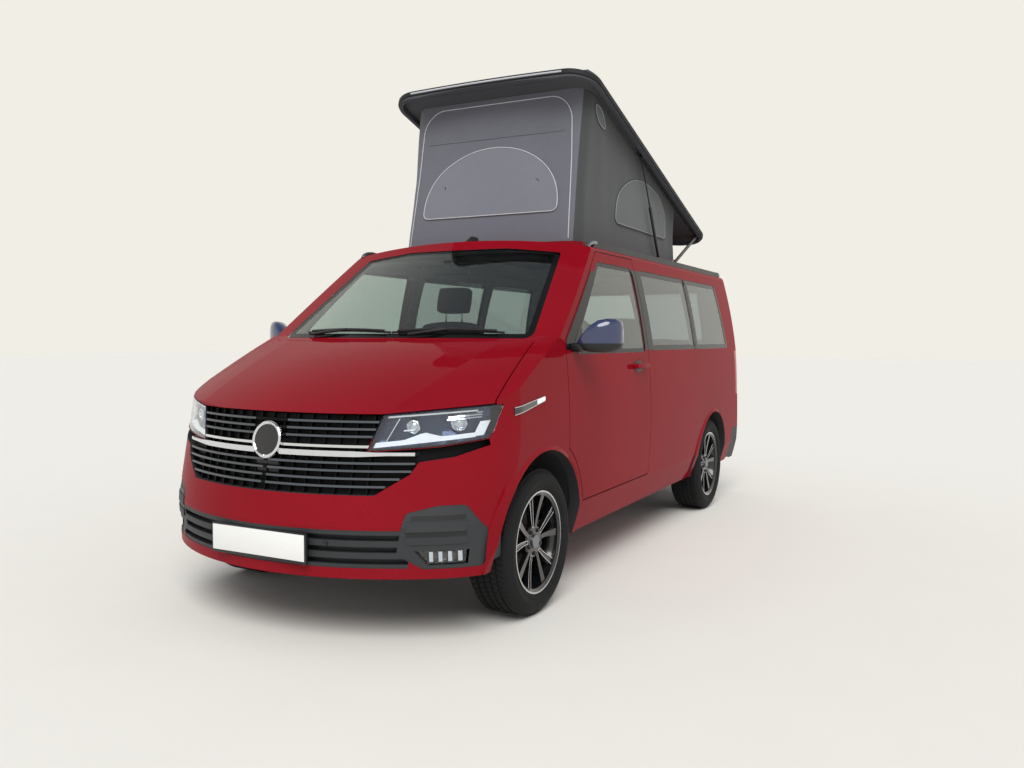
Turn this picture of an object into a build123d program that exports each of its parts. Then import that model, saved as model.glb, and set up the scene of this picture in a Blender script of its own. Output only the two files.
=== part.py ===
"""Camper van with a raised pop-up roof, as separate panels, glass, running gear and roof linkage.

Millimetres. Front is +X, left is +Y, up is +Z, and the origin is on the ground under the middle.
Every function returns solids in their place at rest: roof raised, doors shut, wheels straight.
"""
import os
from math import asin, atan2, cos, degrees, hypot, pi, radians, sin, sqrt

from build123d import *

# Overall body form
NOSE_X = 2440.0          # nose at the height of the bumper's crease
NOSE_Z = 520.0
NOSE_RAKE = 0.2035       # lean back of the nose per unit of height
CHIN_RAKE = 0.06         # lean back of the chin below the crease
BOW_R = 1250.0           # plan radius of the nose
CORNER_R = 480.0         # plan radius of the front corners
SIDE_Y = 955.0           # half width that the plan outlines reach
TAIL_X = 2440.0          # tail behind the middle, at the rear bumper
TAIL_Z = 560.0
TAIL_RAKE = 0.098
TAIL_BOW_R = 4000.0
TAIL_CORNER_R = 170.0
BODY_Z = 300.0           # underside of the sills
ROCKER_Y = 880.0
CREASE = (930.0, 458.0)  # sill crease, as (y, z)
WAIST = (948.0, 760.0)
BELT = (928.0, 1215.0)
SIDE_TOP = (872.0, 1530.0)
GUTTER = (800.0, 1825.0)
GUTTER_R = 40.0
ROOF_MID = (420.0, 1866.0)
ROOF_Z = 1880.0
WALL = 46.0              # door and wall thickness
SCREEN_X = 1511.0        # foot of the windscreen on the centre line
SCREEN_Z = 1304.0
SCREEN_LEAN = 1.3825     # run back per unit of height
SCREEN_R = 2400.0
# bonnet crown: station x, height on the centre line, fall at y = 1000, crease y, fall at the crease
BONNET_STATIONS = ((2480.0, 905.0, 200.0, 500.0, 30.0), (1920.0, 1168.0, 168.0, 600.0, 40.0),
                   (1340.0, 1345.0, 45.0, 700.0, 14.0))

# Dashboard, steering wheel, seats and galley
DASH_Y = 830.0
# outline of the dashboard behind the bulkhead, as (x, z)
DASH_LOW_Z = 760.0
DASH_TOP_Z = 1225.0
DASH_FACE = ((1150.0, DASH_TOP_Z), (985.0, 1150.0), (960.0, 1010.0), (1100.0, 880.0), (1150.0, DASH_LOW_Z))
# hood over the driver's dials, as (x, z), and its half width
DASH_HOOD = ((1120.0, DASH_TOP_Z), (1000.0, 1235.0), (960.0, 1150.0), (1000.0, 1120.0))
DASH_HOOD_HALF = 190.0
HELM_Y = 400.0           # middle of the driver's seat and steering wheel
HELM = (785.0, HELM_Y, 1045.0)
HELM_WAY = (0.84, 0.0, -0.54)
HELM_R = 180.0
HELM_COLUMN = 420.0      # from the hub into the dashboard
HELM_COLUMN_R = 30.0
HELM_RIM_R = 15.0
HELM_HUB_R = 58.0
HELM_HUB = (-14.0, 22.0) # hub and spokes along the column
HELM_SPOKE = (-6.0, 8.0)
HELM_SPOKE_W = 34.0
CHAIR_BASE = (330.0, 800.0, 230.0, 700.0)   # from x, to x, half width, top
CHAIR_PAD = (300.0, 850.0, 250.0, 690.0, 830.0)   # from x, to x, half width, from z, to z
CHAIR_BACK = ((420.0, 790.0), (300.0, 790.0), (130.0, 1420.0), (235.0, 1440.0))
CHAIR_BACK_HALF = 245.0
CHAIR_HEAD = ((225.0, 1470.0), (120.0, 1460.0), (95.0, 1640.0), (190.0, 1655.0))
CHAIR_HEAD_HALF = 130.0
CHAIR_POST = ((170.0, 1400.0), (160.0, 1500.0))
CHAIR_POST_Y = (54.0, 70.0)
CHAIR_POST_W = 16.0
BENCH_BASE = (-1290.0, -760.0, -520.0, 440.0, 760.0)   # from x, to x, from y, to y, top
BENCH_PAD = (-1300.0, -740.0, -540.0, 460.0, 750.0, 880.0)
BENCH_BACK = ((-1180.0, 840.0), (-1300.0, 840.0), (-1440.0, 1480.0), (-1330.0, 1490.0))
SEAT_BASE_R = 20.0
PAD_ROUND = 45.0         # rounding of seat cushions, backs and head rests
BACK_ROUND = 40.0
HEAD_ROUND = 30.0
GALLEY_X = (-1400.0, -120.0)
GALLEY_Y = 560.0
GALLEY_TOP = 1190.0

# Shut lines and glass
SHUT = 6.0               # gap around panels that move
GROOVE = 5.0             # width of a shut line between fixed panels
GROOVE_DEPTH = 10.0
GLASS_INSET = 4.0
GLASS_T = 6.0

# Wheels and running gear
WHEELBASE = 3000.0
FRONT_AXLE_X = 1544.0
REAR_AXLE_X = FRONT_AXLE_X - WHEELBASE
WHEEL_Y = 814.0          # half the track
TYRE_R = 345.0
TYRE_W = 235.0
RIM_R = 228.0            # bead seat
RIM_LIP_R = 243.0
RIM_W = 205.0
HUB_BORE_R = 32.5
HUB_FIT = 0.05           # radial running clearance of the hub spigot
BOLT_CIRCLE_R = 60.0
BOLT_HOLE_R = 7.0
BOLTS = 5
SPOKE_PAIRS = 5
FRONT_ARCH_R = 437.0
REAR_ARCH_R = 405.0
FLARE_W = 52.0           # flare around an arch: width, reach at the arch and at its edge, thickness
FLARE_Y = 958.0
FLARE_EDGE_Y = 936.0
FLARE_T = 10.0
STEER_Y = 725.0          # steering axis beside the wheel
DISC_R = 165.0
LINER_T = 10.0           # wheel arch liners
LINER_GAP = 8.0          # around the arch's edge
LINER_Y = 488.0          # inner wall of the front liner
FLOOR_TOP = 440.0
FLOOR_T = 40.0
TAIL_FLOOR_X = -2370.0
REAR_LINER_Y = 680.0
LINER_WALL_Z = 560.0     # liners' inner walls stop here, over the suspension
LINER_FOOT_Z = 320.0
TANK = (-980.0, -260.0, -200.0, 440.0, 250.0)   # fuel tank: from x, to x, from y, to y, from z
TANK_R = 40.0
EXHAUST_Y = -430.0
EXHAUST_Z = 330.0
EXHAUST_FRONT = (1050.0, -500.0)   # front pipe from x, to x
EXHAUST_REAR = (-890.0, -1240.0)
EXHAUST_FRONT_R = 30.0
EXHAUST_REAR_R = 28.0
SILENCER = (-900.0, -490.0, 100.0, 265.0, 390.0)   # from x, to x, half width, from z, to z
HANGER_X = (700.0, 0.0, -700.0)
HANGER_HALF = 12.0
RAIL_FRONT_X = 2270.0
SPOKE_Y = 50.0           # back of the wheel's spokes, outboard of its middle
SPOKE_T = 32.0
HUB_R = 82.0
SPOKE_FROM_R = HUB_R - 12.0
SPOKE_TO_R = RIM_R - 14.0
SPOKE_ROOT = (8.0, 38.0) # near and far edge of a blade from the pair's middle, at hub and rim
SPOKE_TIP = (30.0, 64.0)
BALL_LOW_Z = 250.0       # steering pivots in the knuckle
BALL_HIGH_Z = 450.0
BALL_R = 16.0
BULKHEAD_X = 1300.0
TRAIL = (520.0, 365.0)   # rear trailing arm: its pivot ahead of the axle, and its height
TRAIL_Y = (520.0, 580.0)
SPRING_BACK = 90.0       # rear spring behind the axle
SPRING_R = 55.0
SHOCK_FOOT = (130.0, 335.0)        # behind the axle, height
WISHBONE_Y = 380.0       # inner ends of the lower arms
FRONT_RAIL_Y = (400.0, 470.0)
FRONT_RAIL_Z = (470.0, 560.0)
STRUT_LEG_Y = 600.0      # front spring leg
STRUT_LEG_R = 42.0
ENGINE = (1440.0, 2080.0, 310.0, 930.0)   # from x, to x, half width, top
ENGINE_MOUNT = (1560.0, 1640.0, 340.0, 470.0, 550.0)
FAR = 1000.0             # beyond the body's sides

# Pop-up roof
ROOF_TILT = 16.46        # degrees, nose up
ARM_FOOT = (-1330.0, 1900.0)       # x, z of the arm's pivot on the fixed roof
ARM_HEAD = (-1898.0, 2150.0)       # x, z of the arm's pivot on the raised roof
ARM_HEAD_SHUT = (-1950.0, 1876.0)  # the same pivot with the roof shut
LID_FRONT = 520.0        # raised roof shell, as it lies when shut
LID_REAR = -2117.0
LID_Y = 705.0
LID_Z = 1868.0
LID_TOP = 1990.0
LID_WALL = 26.0
LID_LIP = 50.0           # upright lip around the shell
LID_CORNER_R = 170.0
LID_GAP = 7.0            # over the fixed roof when shut
CHANNEL_X = (-1995.0, -510.0)      # channels in the shell, as it lies when shut
CHANNEL_Y = 628.0
CHANNEL_TOP = 1919.5
STRUT_FOOT = (-955.0, 1895.0)
STRUT_HEAD = (-551.0, 2560.0)
STRUT_Y = 658.0
STRUT_R = 11.0
STRUT_CASE = 393.0       # reach of the case from its foot
STRUT_ROD = 396.0        # length of the rod
STRUT_ROD_R = 5.0
ARM_Y = 669.0            # middle of the arm plate
ARM_T = 10.0
ARM_W = 24.0
EAR_R = 13.0             # eyes and ears around the roof's pivots
PIN_R = 7.0
PIN_FIT = 0.05
WELL_FRONT = 400.0       # opening in the fixed roof
WELL_REAR = -1470.0
WELL_Y = 585.0
WELL_R = 90.0
TENT_WALL = 12.0
TENT_FRONT = 452.0       # fabric foot line on the fixed roof
TENT_REAR = -1515.0
TENT_Y = 622.0
TENT_R = 105.0
TENT_HEAD_FRONT = 345.0  # fabric head line under the shell, as it lies when shut
TENT_HEAD_REAR = -1540.0
TENT_FOOT_Z = 1886.0     # top of the rim around the opening
LINER_Z = 1896.0         # underside of the shell's inner board, as it lies when shut
BOARD_T = 10.0
BOARD_X = (-1960.0, 400.0)
BOARD_Y = 640.0
BOARD_NOSE_X = -450.0    # ahead of this the board fills the shell's width
SEAT = 0.3               # clearance of soft and curved pieces on their seats
# ears on the fixed roof: pivot x, pivot z, ear from y, to y, pin from y, to y
ROOF_EARS = ((ARM_FOOT[0], ARM_FOOT[1], 646.0, 658.0, 650.0, 676.0),
             (STRUT_FOOT[0], STRUT_FOOT[1], 634.0, 644.0, 640.0, 668.0))


def at_x(x):
    """Plane across the van at x, drawn in (y, z)."""
    return Plane((x, 0, 0), x_dir=(0, 1, 0), z_dir=(1, 0, 0))


def at_y(y):
    """Plane along the van at y, drawn in (x, z), facing right."""
    return Plane((0, y, 0), x_dir=(1, 0, 0), z_dir=(0, -1, 0))


def polygon(points, radius=0.0):
    """Closed outline through the points, with its corners rounded."""
    face = make_face(Polyline(*points, close=True))
    if radius:
        face = fillet(face.vertices(), radius)
    return face


def front_prism(points, x0, x1, radius=0.0):
    """Prism of a (y, z) outline from x0 to x1."""
    return extrude(at_x(x0) * polygon(points, radius), amount=x1 - x0)


def side_prism(points, y0, y1, radius=0.0):
    """Prism of an (x, z) outline from y0 to y1."""
    return extrude(at_y(y1) * polygon(points, radius), amount=y1 - y0)


def plan_prism(points, z0, z1, radius=0.0):
    """Prism of an (x, y) outline from z0 to z1."""
    return extrude(Location((0, 0, z0)) * polygon(points, radius), amount=z1 - z0)


def block(x0, x1, y0, y1, z0, z1):
    """Box between two corners."""
    size = (x1 - x0, y1 - y0, z1 - z0)
    centre = ((x0 + x1) / 2, (y0 + y1) / 2, (z0 + z1) / 2)
    return Location(centre) * Box(*size)


def rod_y(x, z, radius, y0, y1):
    """Cylinder along Y."""
    return extrude(at_y(y1) * (Location((x, z, 0)) * Circle(radius)), amount=y1 - y0)


def rod_z(x, y, radius, z0, z1):
    """Cylinder along Z."""
    return extrude(Location((x, y, z0)) * Circle(radius), amount=z1 - z0)


def mirrored(points):
    """Outline in (y, z) given for the left half, closed over the middle."""
    return list(points) + [(-y, z) for y, z in reversed(points) if y > 0]


def both(shape):
    """The shape and its mirror image on the right side."""
    return shape + mirror(shape, about=Plane.XZ)


def oblique(face, z0, z1, lean):
    """Prism of a plan face at z0, leaning by lean in x per unit of height."""
    way = Vector(lean, 0, 1)
    return extrude(Location((0, 0, z0)) * face, amount=(z1 - z0) * way.length, dir=way)


def bow_plan(front_x, bow_r, corner_r, side_y, back_x):
    """Plan outline with a bowed end, corner arcs tangent to bow and sides, and straight sides."""
    arc_x = front_x - bow_r
    reach = bow_r - corner_r
    corner_x = arc_x + sqrt(reach ** 2 - (side_y - corner_r) ** 2)
    join_turn = asin((side_y - corner_r) / reach)
    mid_turn = (join_turn + pi / 2) / 2
    join = (arc_x + bow_r * cos(join_turn), bow_r * sin(join_turn))
    mid = (corner_x + corner_r * cos(mid_turn), side_y - corner_r + corner_r * sin(mid_turn))
    half = Polyline((back_x, 0), (back_x, side_y), (corner_x, side_y))
    half = half + ThreePointArc((corner_x, side_y), mid, join)
    nose = ThreePointArc(join, (front_x, 0), (join[0], -join[1]))
    return make_face(half.edges() + nose.edges() + mirror(half, about=Plane.XZ).edges())


def inset_point(point, before, after, inset):
    """Point moved inwards by inset along the normal of the line from before to after."""
    run = (after[0] - before[0], after[1] - before[1])
    length = hypot(*run)
    return (point[0] - inset * run[1] / length, point[1] + inset * run[0] / length)


def cross_form(inset):
    """Body cross section run along the van."""
    foot = (ROCKER_Y - 0.75 * inset, BODY_Z + inset)
    crease = inset_point(CREASE, (ROCKER_Y, BODY_Z), WAIST, inset)
    waist = (WAIST[0] - inset, WAIST[1])
    belt = inset_point(BELT, WAIST, SIDE_TOP, inset)
    side_top = inset_point(SIDE_TOP, BELT, GUTTER, inset)
    gutter = (GUTTER[0] - 1.15 * inset, GUTTER[1] - 0.9 * inset)
    roof_mid = (ROOF_MID[0], ROOF_MID[1] - inset)
    half = (Polyline((0, BODY_Z + inset), foot, crease) + ThreePointArc(crease, waist, belt)
            + ThreePointArc(belt, side_top, gutter) + ThreePointArc(gutter, roof_mid, (0, ROOF_Z - inset)))
    face = make_face(half.edges() + mirror(half, about=Plane.YZ).edges())
    if inset < GUTTER_R:
        corners = [v for v in face.vertices() if abs(v.Y - gutter[1]) < 0.1]
        face = fillet(corners, GUTTER_R - inset)
    return extrude(at_x(-2700) * face, amount=5400)


def nose_form(inset):
    """Bowed nose, leaning back above the bumper's crease and a little below it."""
    face = bow_plan(NOSE_X - inset, BOW_R - inset, CORNER_R - inset, SIDE_Y - inset, -2700)
    upper = oblique(face, NOSE_Z, 2000, -NOSE_RAKE)
    low = Location((-CHIN_RAKE * (NOSE_Z - 200), 0, 0)) * face
    return upper + oblique(low, 200, NOSE_Z, CHIN_RAKE)


def tail_form(inset):
    """Tail with tight corners, leaning forward above the rear bumper."""
    face = bow_plan(TAIL_X - inset, TAIL_BOW_R - inset, TAIL_CORNER_R - inset, SIDE_Y - inset, -2700)
    face = mirror(face, about=Plane.YZ)
    upper = oblique(face, TAIL_Z, 2000, TAIL_RAKE)
    return upper + extrude(Location((0, 0, 200)) * face, amount=TAIL_Z - 200)


def bonnet_form(inset):
    """Crowned bonnet, lofted over its stations."""
    sections = []
    for x, crown, fall, crease_y, crease_fall in BONNET_STATIONS:
        z = crown - 1.08 * inset
        line = Polyline((1000, z - fall), (1000, 0), (-1000, 0), (-1000, z - fall))
        edges = line.edges()
        low = z - crease_fall
        edges = edges + ThreePointArc((-crease_y, low), (0, z), (crease_y, low)).edges()
        wing = ((crease_y + 1000) / 2, z - crease_fall - 0.42 * (fall - crease_fall))
        for side in (1, -1):
            run = ((side * crease_y, z - crease_fall), (side * wing[0], wing[1]), (side * 1000, z - fall))
            edges = edges + ThreePointArc(*run).edges()
        sections.append(at_x(x) * make_face(edges))
    return loft(sections)


def screen_form(inset):
    """Everything behind the plane of the curved windscreen."""
    shift = inset * sqrt(1 + SCREEN_LEAN ** 2)
    x0 = SCREEN_X - shift + SCREEN_LEAN * (SCREEN_Z - 200)
    fall = SCREEN_R - sqrt(SCREEN_R ** 2 - 1000 ** 2)
    line = Polyline((x0 - fall, 1000), (-4700, 1000), (-4700, -1000), (x0 - fall, -1000))
    arc = ThreePointArc((x0 - fall, -1000), (x0, 0), (x0 - fall, 1000))
    return oblique(make_face(line.edges() + arc.edges()), 200, 2000, -SCREEN_LEAN)


def body_form(inset):
    """Whole body as a solid, moved inwards by inset."""
    cabin = bonnet_form(inset) + screen_form(inset)
    return cross_form(inset) & nose_form(inset) & tail_form(inset) & cabin


def whole(shape, least=12000.0):
    """Solids of a shape that are more than slivers, as one part."""
    return Part() + [solid for solid in shape.solids() if solid.volume > least]


# Outlines. Side outlines are (x, z), front and rear ones are (y, z) for the left half.
DOOR_REAR = 35.0
DOOR_FRONT = 1268.0
DOOR_SILL = 470.0
DOOR_TOP = 1795.0
DOOR_SWEEP_R = 500.0     # lower front corner follows the wheel arch
DOOR_INNER_Y = 752.0     # inboard limit of the side walls
HINGE_Z = (840.0, 1150.0)
PILLAR_FOOT = (1262.0, 1296.0)
PILLAR_HEAD = (617.0, DOOR_TOP)
ROOF_SPLIT = DOOR_TOP + SHUT
COWL_Z = 1285.0
COWL_Y = 802.0
COWL_GAP = 52.0          # from the windscreen's foot to the bonnet's rear edge
GLASS_FOOT = 1226.0
GLASS_HEAD = 1738.0
WINDOW_R = 38.0
SLIDE_FRONT = -10.0
SLIDE_REAR = -1040.0
PILLAR_REAR = SLIDE_REAR   # middle of the pillar between the side windows
BUMPER_REAR_X = -2080.0
BUMPER_REAR_Z = 572.0
TAILGATE_HALF = 742.0
TAILGATE_HEAD_HALF = 668.0
TAILGATE_HEAD = 1852.0
TAILGATE_INNER_X = -2258.0
GRILLE_RIBS = 7          # ribs on each side of the middle one
GRILLE_RIB_PITCH = 68.0
# depths behind the nose: chrome strips, lamps and pads, slats, ribs, net, lower pan, wall
NOSE_LAYERS = (1.0, 2.0, 6.0, 16.0, 32.0, 38.0, WALL)
BADGE_R = 80.0           # plain disc in the grille
BADGE_Z = 864.0
DOOR_WINDOW = ((78.0, GLASS_FOOT), (1118.0, GLASS_FOOT), (1150.0, 1290.0), (632.0, GLASS_HEAD),
               (78.0, GLASS_HEAD))
MID_WINDOW = ((-52.0, GLASS_FOOT + 8), (-52.0, GLASS_HEAD), (PILLAR_REAR + 20, GLASS_HEAD),
              (PILLAR_REAR + 20, GLASS_FOOT + 8))
REAR_WINDOW = ((PILLAR_REAR - 20, GLASS_FOOT + 8), (PILLAR_REAR - 20, GLASS_HEAD), (-1868.0, GLASS_HEAD),
               (-1935.0, GLASS_FOOT + 8))
TAIL_WINDOW = ((645.0, 1262.0), (590.0, 1742.0))
SCREEN_GLASS = ((791.0, 1306.0), (659.0, 1786.0), (330.0, 1822.0))
LAMP = ((518.0, 980.0), (468.0, 828.5), (734.0, 850.0), (882.0, 878.0), (893.0, 905.0), (911.0, 1022.0))
GRILLE = ((515.0, 977.0), (466.0, 826.0), (734.0, 848.0), (884.0, 876.0), (889.0, 850.0), (788.0, 806.0),
          (668.0, 786.0), (640.0, 735.0), (515.0, 648.0))
BONNET_EDGE = ((0.0, 984.0), (516.0, 985.0), (911.0, 1028.0), (1000.0, 1036.0), (1000.0, 1400.0),
               (0.0, 1400.0))
INTAKE_HALF = 650.0
LOWER_INTAKE = ((INTAKE_HALF, 506.0), (INTAKE_HALF, 346.0))
FOG_LAMP = ((671.0, 419.0), (851.0, 419.0), (845.0, 357.0), (712.0, 357.0))
TAIL_LAMP = ((800.0, 850.0), (960.0, 850.0), (960.0, 1212.0), (800.0, 1212.0))
BONNET_SIDE = ((1300.0, 800.0), (1800.0, 868.0), (2600.0, 990.0))
BUMPER_FRONT = ((1870.0, BODY_Z), (1905.0, 600.0), (1975.0, 884.0), (2700.0, 884.0), (2700.0, BODY_Z))
SIDE_ZONE = ((-2700.0, BODY_Z), (DOOR_FRONT + SHUT, BODY_Z), (DOOR_FRONT + SHUT, DOOR_SILL - SHUT),
             (DOOR_REAR - SHUT, DOOR_SILL - SHUT), (DOOR_REAR - SHUT, ROOF_SPLIT), (-2700.0, ROOF_SPLIT))
SCREEN_ZONE = ((DOOR_FRONT + SHUT, COWL_Z), (1700.0, COWL_Z), (1700.0, ROOF_SPLIT), (560.0, ROOF_SPLIT))
WING_ZONE = ((1040.0, DOOR_SILL - SHUT), (2300.0, DOOR_SILL - SHUT), (2300.0, COWL_Z), (1040.0, COWL_Z))
# level bands across the nose: half width, from z, to z
INTAKE_BARS = ((INTAKE_HALF, 486.0, 506.0), (INTAKE_HALF, 436.0, 462.0), (INTAKE_HALF, 386.0, 412.0),
               (INTAKE_HALF, 346.0, 362.0))
GRILLE_SLATS = ((520.0, 884.0, 895.0), (520.0, 915.0, 926.0), (520.0, 946.0, 957.0), (690.0, 774.0, 785.0),
                (660.0, 742.0, 753.0), (640.0, 710.0, 721.0), (620.0, 678.0, 689.0))
CHROME_STRIPS = ((474.0, 843.0, 854.0), (650.0, 812.0, 826.0))
RAIL_SIDE = ((-2190.0, 1800.0), (-2150.0, 1860.0), (560.0, 1860.0), (640.0, 1800.0))
# mirror head in plan, as (x, y)
MIRROR_PLAN = ((1206.0, 962.0), (1166.0, 1132.0), (1064.0, 1152.0), (1084.0, 968.0))
MIRROR_Z = (1246.0, 1404.0)
MIRROR_R = 36.0
CORNER_PAD = ((640.0, 578.0), (756.0, 608.0), (840.0, 608.0), (902.0, 500.0), (898.0, 342.0),
              (700.0, 342.0),
              (606.0, 404.0))
PAD_R = 24.0


def door_outline(grow):
    """Front door in side view, grown outwards by grow."""
    reach = DOOR_SWEEP_R - grow
    low = (FRONT_AXLE_X - sqrt(reach ** 2 - (DOOR_SILL - grow - TYRE_R) ** 2), DOOR_SILL - grow)
    front = DOOR_FRONT + grow
    high = (front, TYRE_R + sqrt(reach ** 2 - (FRONT_AXLE_X - front) ** 2))
    turns = [atan2(end[1] - TYRE_R, end[0] - FRONT_AXLE_X) for end in (low, high)]
    turn = (turns[0] + turns[1]) / 2
    mid = (FRONT_AXLE_X + reach * cos(turn), TYRE_R + reach * sin(turn))
    lean = (PILLAR_FOOT[0] - PILLAR_HEAD[0]) / (PILLAR_HEAD[1] - PILLAR_FOOT[1])
    top = DOOR_TOP + grow
    shift = grow * sqrt(1 + lean ** 2)
    foot_z = PILLAR_FOOT[1] + (PILLAR_FOOT[0] + shift - front) / lean
    head_x = PILLAR_HEAD[0] + shift - lean * grow
    rear = DOOR_REAR - grow
    line = Polyline(high, (front, foot_z), (head_x, top), (rear, top), (rear, DOOR_SILL - grow), low)
    return make_face(line.edges() + ThreePointArc(low, mid, high).edges())


def door_prism(grow):
    """Front door's place on the left side."""
    return extrude(at_y(FAR) * door_outline(grow), amount=FAR - DOOR_INNER_Y)


def bonnet_zone(grow):
    """Bonnet's place: above the lamps, between the wings and clear of the windscreen's foot."""
    rear = SCREEN_X + COWL_GAP - grow
    fall = SCREEN_R - sqrt(SCREEN_R ** 2 - 900 ** 2)
    back = rear - fall
    line = Polyline((back, 900), (back, FAR), (2600, FAR), (2600, -FAR), (back, -FAR), (back, -900))
    arc = ThreePointArc((back, -900), (rear, 0), (back, 900))
    plan = extrude(Location((0, 0, 900)) * make_face(line.edges() + arc.edges()), amount=500)
    wings = [(x, y + grow) for x, y in BONNET_SIDE]
    sides = plan_prism(wings + [(x, -y) for x, y in reversed(wings)], 900, 1400)
    edge = front_prism(mirrored([(y, z - grow if z < 1300 else z) for y, z in BONNET_EDGE]), 1300, 2600)
    return plan & sides & edge


def tailgate_zone(grow):
    """Tailgate's place in the tail, from the bumper to the roof."""
    outline = ((TAILGATE_HALF + grow, BUMPER_REAR_Z + SHUT - grow), (TAILGATE_HALF + grow, BELT[1]),
               (TAILGATE_HEAD_HALF + grow, TAILGATE_HEAD + grow))
    return front_prism(mirrored(outline), -2700, TAILGATE_INNER_X + grow)


def arches(front_r, rear_r, inner_y):
    """Cylinders over all four wheels."""
    left = rod_y(FRONT_AXLE_X, TYRE_R, front_r, inner_y, FAR) + rod_y(REAR_AXLE_X, TYRE_R, rear_r, inner_y, FAR)
    return both(left)


def flares(outer):
    """Flares around the wheel arches, thinning out into the sides."""
    ring = Part()
    for x, radius in ((FRONT_AXLE_X, FRONT_ARCH_R), (REAR_AXLE_X, REAR_ARCH_R)):
        edge = radius + FLARE_W
        profile = ((radius, 800), (radius, FLARE_Y), (edge, FLARE_EDGE_Y), (edge, 800))
        ring = ring + Location((x, 0, TYRE_R)) * revolve(Plane.XY * polygon(profile), axis=Axis.Y)
    proud = cross_form(-FLARE_T) & nose_form(-FLARE_T) & block(-2700, 2700, 0, 1000, BODY_Z, 1000)
    return both((ring & proud) - outer)


def bands(table):
    """Level bands across the nose."""
    shape = Part()
    for half, low, high in table:
        shape = shape + block(1800, 2600, -half, half, low, high)
    return shape


def rod_x(y, z, radius, x0, x1):
    """Cylinder along X."""
    return extrude(at_x(x0) * (Location((y, z, 0)) * Circle(radius)), amount=x1 - x0)


def slide_prism(grow):
    """Sliding door's place on the right side."""
    outline = ((SLIDE_FRONT + grow, DOOR_SILL - SHUT - grow), (SLIDE_FRONT + grow, DOOR_TOP - 15 + grow),
               (SLIDE_REAR - grow, DOOR_TOP - 15 + grow), (SLIDE_REAR - grow, DOOR_SILL - SHUT - grow))
    return mirror(side_prism(outline, DOOR_INNER_Y, 1000, 25 + grow), about=Plane.XZ)


def rect_plan(front, rear, half):
    """Corners of a plan rectangle."""
    return ((front, half), (rear, half), (rear, -half), (front, -half))


def rounded(x0, x1, y0, y1, z0, z1, radius):
    """Box with all its edges rounded."""
    shape = block(x0, x1, y0, y1, z0, z1)
    return fillet(shape.edges(), radius)


def eye(x, z, radius, bore, y0, y1):
    """Ring along Y."""
    return rod_y(x, z, radius, y0, y1) - rod_y(x, z, bore, y0 - 1, y1 + 1)


def bar(a, b, width, y0, y1):
    """Flat bar between two points in side view."""
    run = (b[0] - a[0], b[1] - a[1])
    length = hypot(*run)
    off = (-run[1] / length * width / 2, run[0] / length * width / 2)
    points = [(a[0] + off[0], a[1] + off[1]), (b[0] + off[0], b[1] + off[1]),
              (b[0] - off[0], b[1] - off[1]), (a[0] - off[0], a[1] - off[1])]
    return side_prism(points, y0, y1)


def tube(a, b, radius, y):
    """Round bar between two points in side view."""
    run = Vector(b[0] - a[0], 0, b[1] - a[1])
    plane = Plane((a[0], y, a[1]), z_dir=run)
    return extrude(plane * Circle(radius), amount=run.length)


def nose_pieces(lamp, mouth, intake, pads, fogs):
    """Grille, chrome strips, disc, lower trim and lamps, layered behind the nose."""
    zone = block(1780, 2600, -1000, 1000, BODY_Z, 1030)
    faces = {inset: nose_form(inset) & zone for inset in NOSE_LAYERS}
    chrome_layer, trim_layer, slat_layer, rib_layer, net_layer, pan_layer, wall_layer = NOSE_LAYERS

    def layer(front, back):
        return faces[front] - faces[back]

    trim = (layer(trim_layer, wall_layer) & pads) - fogs
    bars = layer(trim_layer, pan_layer) & bands(INTAKE_BARS)
    trim = trim + ((layer(pan_layer, wall_layer) + bars) & intake)

    badge_bore = rod_x(0, BADGE_Z, BADGE_R, 2200, 2600)
    strips = bands(CHROME_STRIPS)
    ribs = Part()
    for k in range(-GRILLE_RIBS, GRILLE_RIBS + 1):
        y = k * GRILLE_RIB_PITCH
        ribs = ribs + block(1800, 2600, y - 3, y + 3, 640, 985)
    slats = (layer(slat_layer, net_layer) & bands(GRILLE_SLATS)) + (layer(rib_layer, net_layer) & ribs)
    net = layer(net_layer, wall_layer) & mouth
    grille = (net + ((slats - strips) & mouth)) - badge_bore
    chrome = ((layer(chrome_layer, net_layer) & strips) & mouth) - badge_bore
    badge = (nose_form(-4) - nose_form(WALL)) & badge_bore
    lamps = (layer(trim_layer, wall_layer) & lamp) + (layer(rib_layer, wall_layer) & (fogs & pads))
    return {"bumper_trim": whole(trim), "grille": whole(grille), "grille_chrome": whole(chrome + badge),
            "headlamps": whole(lamps)}


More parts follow.
